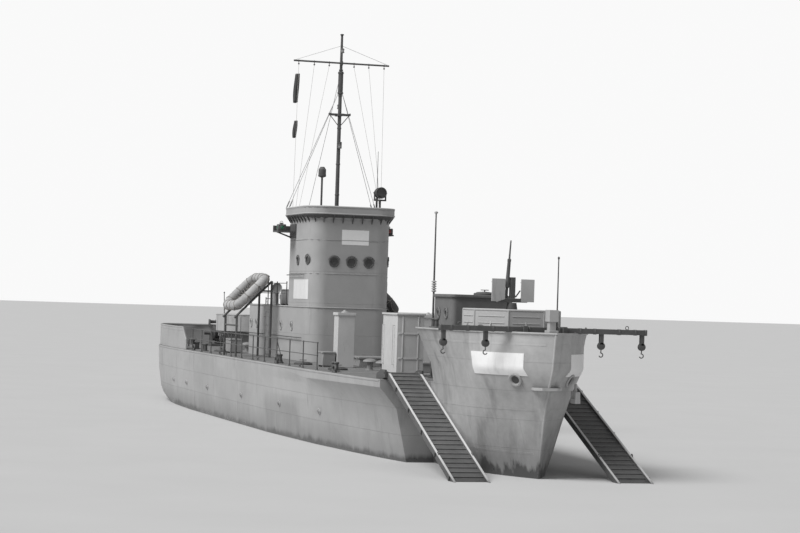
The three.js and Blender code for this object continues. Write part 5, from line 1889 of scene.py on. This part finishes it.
@dataclass
class MainDeck:
    """Bitts, chocks, vents, scuttles and lockers along the main deck."""

    bitt_xs: Row = (-12.0, -20.2, -34.2)
    chock_xs: Row = (-11.0, -19.4, -35.2)
    cleat_xs: Row = (-16.2, -23.0, -30.2)
    vents: tuple[Point, ...] = (
        (-12.6, 1.2), (-14.2, 1.2), (-17.6, 1.2), (-19.4, 1.2), (-33.4, 0.9), (-35.4, 0.9),
    )
    scuttles: tuple[Point, ...] = ((-13.6, 2.5), (-18.6, 2.5), (-33.6, 2.4))
    hatches: tuple[Point, ...] = ((-19.2, -17.8), (-13.9, -12.7))
    strap_xs: Row = (-11.4, -14.8, -17.2, -20.9, -33.2, -35.9)
    rail_aft_x: float = -34.8
    rail_length: float = 22.0
    rail_y: float = 3.44

    def build(self) -> None:
        """Makes each side's deck gear and the middle line's."""
        for side in Side:
            self.side_gear(side)
        self.hatchways()
        seams = Form()
        for x in self.strap_xs:
            seams.pad((x, 0, MAIN_DECK_Z - 0.01), 0.05, 3.3, 0.019, 0.004)
        seams.piece("deck_straps", HULL_PAINT)

    def side_gear(self, side: Side) -> None:
        """Makes one side's fittings, ventilators and rail feet."""
        z = MAIN_DECK_Z
        gear = Gear()
        for x in self.bitt_xs:
            gear.bitts((x, 3.02, z), 0.85)
        for x in self.chock_xs:
            gear.chock((x, 3.3, z), 0.75)
        for x, y in self.scuttles:
            gear.scuttle((x, y, z), 0.27)
        for x in self.cleat_xs:
            gear.cleat((x, 3.2, z), 0.8)
        gear.piece_on(side, "deck_gear", FITTING_PAINT)
        vents = Gear()
        for x, y in self.vents:
            vents.mushroom((x, y, z), 0.95)
        vents.locker((-17.1, 1.9, z), (-16.3, 2.35, z + 0.55))
        vents.locker((-33.0, 1.9, z), (-31.9, 2.4, z + 0.6))
        vents.piece_on(side, "deck_vents", GEAR_PAINT)
        rails = Form()
        posts = [self.rail_aft_x + self.rail_length * k / 11 for k in range(12)]
        for x in posts:
            foot = [(0.06, -0.004), (0.06, 0.012), (0.035, 0.03), (0.026, 0.09)]
            rails.post((x, self.rail_y, z), foot, 12)
            for rise in (0.50, 0.93):
                collar = [(0.022, 0), (0.027, 0.006), (0.027, 0.054), (0.022, 0.06)]
                rails.turned((x - 0.03, self.rail_y, z + rise), FORWARD, collar, 12)
        for x in (posts[3], posts[8]):
            rails.tube([(x, 3.43, z + 0.8), (x - 0.35, 3.12, z + 0.01)], 0.014)
        rails.piece_on(side, "rail_feet", FITTING_PAINT)

    def hatchways(self) -> None:
        """Makes the hatches on the middle line."""
        z = MAIN_DECK_Z
        hatch = Form()
        for x0, x1 in self.hatches:
            hatch.block((x0, -0.6, z - 0.004), (x1, 0.6, z + 0.3), 0.02)
            hatch.block((x0 - 0.04, -0.64, z + 0.28), (x1 + 0.04, 0.64, z + 0.36), 0.02)
            for x in (p.x for p in along((x0 + 0.15, 0, 0), (x1 - 0.15, 0, 0), 4)):
                for way in (1, -1):
                    clip = ((0.60, 0.37), (0.67, 0.33), (0.67, 0.2))
                    hatch.tube([(x, way * y, z + rise) for y, rise in clip], 0.014)
            grip = ((-0.2, 0.355), (-0.2, 0.42), (0.2, 0.42), (0.2, 0.355))
            hatch.tube([(x0 + 0.2, y, z + rise) for y, rise in grip], 0.014)
        hatch.piece("deck_hatches", GEAR_PAINT)


@dataclass
class SternDressing:
    """Rim, ribs, rollers, bitts, staff and wire at the stern."""

    skin: SideSkin = field(default_factory=lambda: SideSkin("hull", MAIN_DECK_Z, Side.PORT))
    top: float = 3.5
    inset: float = 0.06
    rim_xs: Row = (-36.22, -37.1, -40.0, -43.0, -45.0, -46.2, -46.9, -47.24)
    rib_xs: Row = (-37.8, -39.0, -40.2, -41.4, -42.6, -43.8, -45.0, -46.0)
    drum: Pair = (-44.3, 3.05)
    wire_turns: int = 14
    staff: Profile = (
        (0.06, 0), (0.06, 0.02), (0.03, 0.05), (0.026, 1.2),
        (0.018, 2.55), (0.035, 2.57), (0.035, 2.6), (0.0, 2.63),
    )
    tub_x: float = -40.0
    tub_rim_z: float = 4.1
    tub_radius: float = 1.325

    def edge(self, x: float, inward: float = 0.0) -> Vector:
        """A point of the bulwark's top on the port side."""
        rail = self.skin.at(max(x, -47.15), MAIN_DECK_Z - 0.02).y - (1.35 if x < -47.2 else 0.0)
        top = self.top if x <= -37.1 else self.top - (x + 37.1) / 0.9 * 0.55
        return Vector((x + (0.09 if x < -47 else 0.0), rail - self.inset - 0.03 - inward, top))

    def build(self) -> None:
        """Makes the stern's pieces."""
        self.bulwark()
        for side in Side:
            gear = Gear()
            for x, y in ((-42.2, 2.5), (-37.6, 2.7)):
                gear.bitts((x, y, MAIN_DECK_Z), 0.85)
            for x, y, scale in ((-45.7, 1.3, 0.8), (-38.2, 1.1, 0.9)):
                gear.mushroom((x, y, MAIN_DECK_Z), scale)
            gear.tube([(-42.1, 2.2, MAIN_DECK_Z), (-42.1, 2.2, MAIN_DECK_Z + 0.3)], 0.03, 10)
            gear.piece_on(side, "stern_gear", FITTING_PAINT)
        self.roller_and_wire()
        staff = Form()
        staff.turned((-46.6, 0.42, MAIN_DECK_Z), (-0.16, 0, 1), self.staff, 14)
        for rise in (0.5, 0.9):
            staff.pad((-46.665 - rise * 0.16, 0.42, MAIN_DECK_Z + rise), 0.115, 0.06, 0.03, 0.006)
        staff.piece("ensign_staff", FITTING_PAINT)
        self.tub()

    def bulwark(self) -> None:
        """Makes the bulwark's rim bar and ribs."""
        rim = Form()
        port = [self.edge(x) for x in self.rim_xs]
        rim.tube(port + [Vector((p.x, -p.y, p.z)) for p in reversed(port)], 0.045, 12)
        for side in reversed(Side):
            for x in self.rib_xs:
                foot = side.point(x, self.edge(x, 0.02).y, MAIN_DECK_Z)
                rib = ((0, 0), (0.28, 0), (0.28, 0.06), (0.05, 0.88), (0, 0.88))
                rim.plate([foot - side.out * inward + UP * rise for inward, rise in rib], (0.03, 0, 0))
        rim.piece("stern_rim", HULL_PAINT)

    def roller_and_wire(self) -> None:
        """Makes the stern roller, and the winch wire on its drum and over the roller."""
        roller = Form()
        for sign in (-1, 1):
            cheek = ((-47.12, 3.46), (-46.75, 3.46), (-46.8, 3.78), (-47.08, 3.78))
            roller.plate([(x, sign * 0.3, z) for x, z in cheek], (0, -sign * 0.04, 0))
        waist = [(0.10, 0), (0.085, 0.04), (0.07, 0.27), (0.085, 0.5), (0.10, 0.54)]
        roller.turned((-46.94, -0.27, 3.66), (0, 1, 0), waist)
        for k in range(8):
            roller.pad((-46.88, 0.07 * k - 0.265, 2.56), 0.02, 0.015, 0.02, 0.003)
        roller.piece("stern_roller", FITTING_PAINT)
        wire = Form()
        x, z = self.drum
        coil = []
        for k in range(12 * self.wire_turns):
            angle = k / 6 * pi
            coil.append((x + 0.375 * cos(angle), 0.005 * k - 0.42, z + 0.375 * sin(angle)))
        wire.tube(coil, 0.022)
        wire.tube([(x, 0.02, 3.43), (-46.94, 0.0, 3.765)], 0.022)
        wire.piece("winch_wire", WIRE)

    def tub(self) -> None:
        """Makes the aft tub's rim, ribs and lockers."""
        rim = Form()
        middle = Vector((self.tub_x, 0, 0))
        wall = self.tub_radius
        rim.tube(circle(middle + UP * self.tub_rim_z, (wall, 0, 0), (0, wall, 0), 48), 0.035, 12, True)
        for k in range(12):
            angle = pi / 6 * k + 0.13
            out = spoke(angle)
            rim.tube([middle + out * 1.345 + UP * z for z in (3.38, 4.08)], 0.024)
            across = spoke(angle + pi / 2) * 0.03
            bracket = ((1.19, 3.34), (1.33, 3.37), (1.0, 2.9))
            rim.plate([middle - across / 2 + out * r + UP * z for r, z in bracket], across)
        rim.piece("aft_tub_rim", RIM_PAINT)
        inside = Form()
        for k in (1, 3, 5, 7):
            turn = Matrix.Rotation(pi / 4 * k, 3, "Z")
            spot = middle + spoke(pi / 4 * k) * 1.1 + UP * 3.43
            inside.block(spot + Vector((-0.1, -0.32, 0)), spot + Vector((0.1, 0.32, 0.34)), 0.015, turn)
            for e in (-0.2, 0.2):
                catch, half = spot + turn @ Vector((-0.11, e, 0.17)), Vector((0.012, 0.03, 0.1))
                inside.block(catch - half, catch + half, 0.004, turn)
        inside.piece("aft_tub_lockers", TUB_PAINT)


@dataclass
class LampDressing:
    """Glass, rims and guards of the sidelights and searchlight."""

    drum: Spot = (-21.97, 1.15, 9.07)
    drum_radius: float = 0.205
    sidelight: Spot = (-24.22, 2.155, 7.67)
    signal_post: Pair = (-23.0, -0.9)
    aerial: Profile = (
        (0.09, 0), (0.09, 0.03), (0.045, 0.05), (0.04, 1.5), (0.055, 1.52),
        (0.055, 1.6), (0.03, 1.64), (0.016, 1.7), (0.009, 3.4), (0.0, 3.43),
    )

    def build(self) -> None:
        """Makes the lamps' pieces."""
        self.sidelights()
        self.searchlight()
        post = Form()
        shade = [(0.06, 0), (0.14, 0.03), (0.155, 0.06), (0.155, 0.09), (0.14, 0.1)]
        post.post((*self.signal_post, 9.62), shade)
        post.post((*self.signal_post, 7.9), [(0.04, 0), (0.055, 0.01), (0.055, 0.06), (0.04, 0.07)], 14)
        post.piece("signal_post_collar", FITTING_PAINT)
        whip = Form()
        whip.post((-22.75, 1.24, 7.3), self.aerial, 12)
        whip.piece("whip_aerial", FITTING_PAINT)

    def sidelights(self) -> None:
        """Makes the lantern on each side's screen, with glass ahead and abeam."""
        x, y, z = self.sidelight
        rim = [(0.10, -0.01), (0.10, 0.01), (0.085, 0.018), (0.082, 0.002)]
        lens = [(0.084, -0.002), (0.07, 0.016), (0.04, 0.026), (0.0, 0.03)]
        hood = [(0.06, 0.0), (0.06, 0.03), (0.09, 0.035), (0.09, 0.05), (0.03, 0.07), (0.0, 0.072)]
        for side, glass in ((Side.PORT, RED_GLASS), (Side.STARBOARD, GREEN_GLASS)):
            lamp = Form()
            lamp.pad((x, y, z - 0.124), 0.16, 0.155, 0.254, 0.02)
            for spot, way in (((x + 0.16, y, z), FORWARD), ((x, y + 0.155, z), Side.PORT.out)):
                lamp.turned(spot, way, rim)
                lamp.turned(spot, way, lens, tint=1)
            lamp.post((x, y, z + 0.12), hood, 16)
            lamp.tube(arc((x, y, z + 0.19), (0, 0.06, 0), (0, 0, 0.06), 0, 180, 10), 0.008, 6)
            lamp.piece_on(side, "sidelight", FITTING_PAINT, glass)

    def searchlight(self) -> None:
        """Makes the searchlight's rim, lens, back, cooling rings and trunnions."""
        x, y, z = self.drum
        r = self.drum_radius
        rim = [(r + 0.004, -0.02), (r + 0.016, -0.01), (r + 0.016, 0.02), (r - 0.01, 0.03)]
        back = [(r - 0.01, -0.01), (r - 0.03, 0.02), (r * 0.6, 0.05), (0.06, 0.065), (0.0, 0.067)]
        lens = [(r - 0.018, 0.0), (r - 0.03, 0.012), (r * 0.5, 0.022), (0.0, 0.026)]
        light = Form()
        light.turned((x + 0.155, y, z), FORWARD, rim + [(r - 0.02, 0.012), (r - 0.022, 0.0)], 32)
        light.turned((x + 0.158, y, z), FORWARD, lens, 32, tint=1)
        light.turned((x - 0.16, y, z), -FORWARD, back, 28)
        for k in range(5):
            ring = [(r, 0), (r + 0.01, 0.004), (r + 0.01, 0.01), (r, 0.014)]
            light.turned((x - 0.10 + 0.05 * k, y, z), FORWARD, ring, 28)
        light.tube(arc((x - 0.22, y, z), (0, 0.1, 0), (0, 0, 0.1), 0, 180, 12), 0.01)
        for sign in (-1, 1):
            pin = [(0.045, 0), (0.045, 0.01), (0.02, 0.015), (0.02, 0.035), (0.0, 0.037)]
            light.turned((x, y + sign * 0.238, z), (0, sign, 0), pin, 14)
        light.piece("searchlight_lens", FITTING_PAINT, PORT_GLASS)


@dataclass
class MountDressing:
    """Ribs, sight bars and handwheels of the mount in the bow tub."""

    x: float = -2.9
    sleeve: Profile = (
        (0.045, 0.0), (0.068, 0.02), (0.068, 0.16), (0.06, 0.18),
        (0.05, 0.78), (0.056, 0.80), (0.056, 0.86), (0.03, 0.88),
    )

    def build(self) -> None:
        """Makes the pieces on the mount's base and head."""
        x = self.x
        base = Form()
        for k in range(8):
            angle = pi / 4 * k
            out, across = spoke(angle), spoke(angle + pi / 2) * 0.024
            foot = Vector((x, 0, 0)) - across / 2
            rib = ((0.13, 4.30), (0.32, 4.30), (0.13, 4.72))
            base.plate([foot + out * r + UP * z for r, z in rib], across)
            base.post(Vector((x, 0, 4.29)) + out * 0.33, [(0.022, 0), (0.022, 0.03), (0.01, 0.038)], 6)
        base.piece("bow_mount_ribs", FITTING_PAINT)
        head = Form()
        for sign in (-1, 1):
            y = sign * 0.46
            for z in (5.16, 5.64):
                head.pad((x - 0.005, y, z - 0.015), 0.025, 0.19, 0.03, 0.006)
            head.tube([(x - 0.02, y - sign * 0.2, 5.4), (x - 0.02, sign * 0.12, 5.2)], 0.02)
        head.turned((x + 0.008, -0.171, 5.47), (0.0222, 0.05, 1), self.sleeve, 16)
        hub = Vector((x - 0.12, 0.05, 5.24))
        head.tube(circle(hub, (0, 0.09, 0), (0, 0, 0.09), 20), 0.01, 8, True)
        head.tube([(x - 0.12, -0.04, 5.24), (x - 0.12, 0.14, 5.24)], 0.007)
        head.tube([hub, (x + 0.02, 0.05, 5.24)], 0.014)
        head.piece("bow_mount_fittings", FITTING_PAINT, body="bow_mount_head_body")


@dataclass
class BelowWater:
    """Collars and anodes of the stern gear."""

    shaft: Pair = (1.55, -0.95)
    collar_xs: Row = (-43.75, -41.5, -39.6)
    anode_xs: Row = (-42.8, -41.2, -37.4)

    def build(self) -> None:
        """Makes each side's pieces."""
        for side in Side:
            form = Form()
            collar = [(0.075, 0), (0.1, 0.02), (0.1, 0.14), (0.075, 0.16)]
            for x in self.collar_xs:
                form.turned((x, *self.shaft), FORWARD, collar, 18)
            for x in self.anode_xs:
                form.block((x, 1.32, -0.42), (x + 0.3, 1.4, -0.34), 0.015)
            form.piece_on(side, "shaft_collars", BOTTOM_PAINT)


@dataclass(frozen=True)
class Studio:
    """The floor, lights, backdrop and camera."""

    camera_place: Spot = (41.801, -10.981, 2.503)
    camera_way: Spot = (-0.960084, 0.279311, 0.014959)
    camera_up: Spot = (0.00551, -0.034584, 0.999387)
    lens: float = 100.8
    sensor: float = 36.0
    clip_end: float = 2000.0
    floor_half: float = 400.0
    floor_greys: Pair = (0.44, 0.48)
    floor_roughness: float = 0.9
    sky: float = 0.36
    backdrop: float = 0.95
    sun: float = 3.5
    sun_spread: float = radians(35)
    sun_way: Spot = (-0.14, 0.6, -0.785)

    def build(self) -> None:
        """Makes the whole set, shown without a film curve."""
        bpy.context.scene.view_settings.view_transform = "Standard"
        self.floor()
        self.world()
        self.light()
        self.camera()

    @staticmethod
    def link(name: str, data: bpy.types.ID) -> bpy.types.Object:
        """Makes an object of some data in the scene."""
        item = bpy.data.objects.new(name, data)
        bpy.context.scene.collection.objects.link(item)
        return item

    def floor(self) -> None:
        """A plain pale floor at the waterline."""
        h = self.floor_half
        mesh = bpy.data.meshes.new("studio_floor")
        mesh.from_pydata([(-h, -h, 0), (h, -h, 0), (h, h, 0), (-h, h, 0)], [], [(0, 1, 2, 3)])
        floor = self.link("studio_floor", mesh)
        material = bpy.data.materials.new("studio_floor")
        material.use_nodes = True
        graph = Graph(material.node_tree)
        shader = material.node_tree.nodes["Principled BSDF"]
        tones = (grey(value) for value in self.floor_greys)
        Finish.feed(graph, shader, graph.mix(graph.noise(graph.place(), 0.5, 3.0), *tones))
        shader.inputs["Roughness"].default_value = self.floor_roughness
        mesh.materials.append(material)

    def world(self) -> None:
        """Even light from all round, before a brighter backdrop."""
        world = bpy.data.worlds.new("studio")
        world.use_nodes = True
        world.node_tree.nodes.clear()
        graph = Graph(world.node_tree)
        even, seen = (
            graph.out("ShaderNodeBackground", {"Color": (*grey(1.0), 1.0), "Strength": strength})
            for strength in (self.sky, self.backdrop)
        )
        camera_ray = graph.out("ShaderNodeLightPath", key="Is Camera Ray")
        both = graph.out("ShaderNodeMixShader", {0: camera_ray, 1: even, 2: seen})
        graph.node("ShaderNodeOutputWorld", {0: both})
        bpy.context.scene.world = world

    def light(self) -> None:
        """One broad soft light from starboard."""
        lamp = bpy.data.lights.new("starboard_light", "SUN")
        lamp.energy = self.sun
        lamp.angle = self.sun_spread
        holder = self.link("starboard_light", lamp)
        holder.rotation_euler = Vector(self.sun_way).to_track_quat("-Z", "Y").to_euler()

    def camera(self) -> None:
        """The camera at the photograph's angle, with a longer lens."""
        lens = bpy.data.cameras.new("camera")
        lens.lens = self.lens
        lens.sensor_width = self.sensor
        lens.clip_end = self.clip_end
        back = -Vector(self.camera_way).normalized()
        right = Vector(self.camera_up).cross(back).normalized()
        holder = self.link("camera", lens)
        turn = Matrix((right, back.cross(right), back)).transposed().to_4x4()
        holder.matrix_world = Matrix.Translation(self.camera_place) @ turn
        bpy.context.scene.camera = holder


def main() -> None:
    """Builds the set and every sub-assembly in order."""
    logging.basicConfig(level=logging.INFO, format="%(message)s")
    Studio().build()
    FrameSkin().dress(frame["nodes"])
    for side in Side:
        HullDressing().build(side)
        RampDressing().build(side)
        Raft().build(side)
    BowDressing().build()
    Forecastle().build()
    BeamDressing().build()
    MountDressing().build()
    DeckBoxes().build()
    HouseDressing().build()
    Mast().build()
    LampDressing().build()
    MainDeck().build()
    SternDressing().build()
    BelowWater().build()


if __name__ == "__main__":
    main()
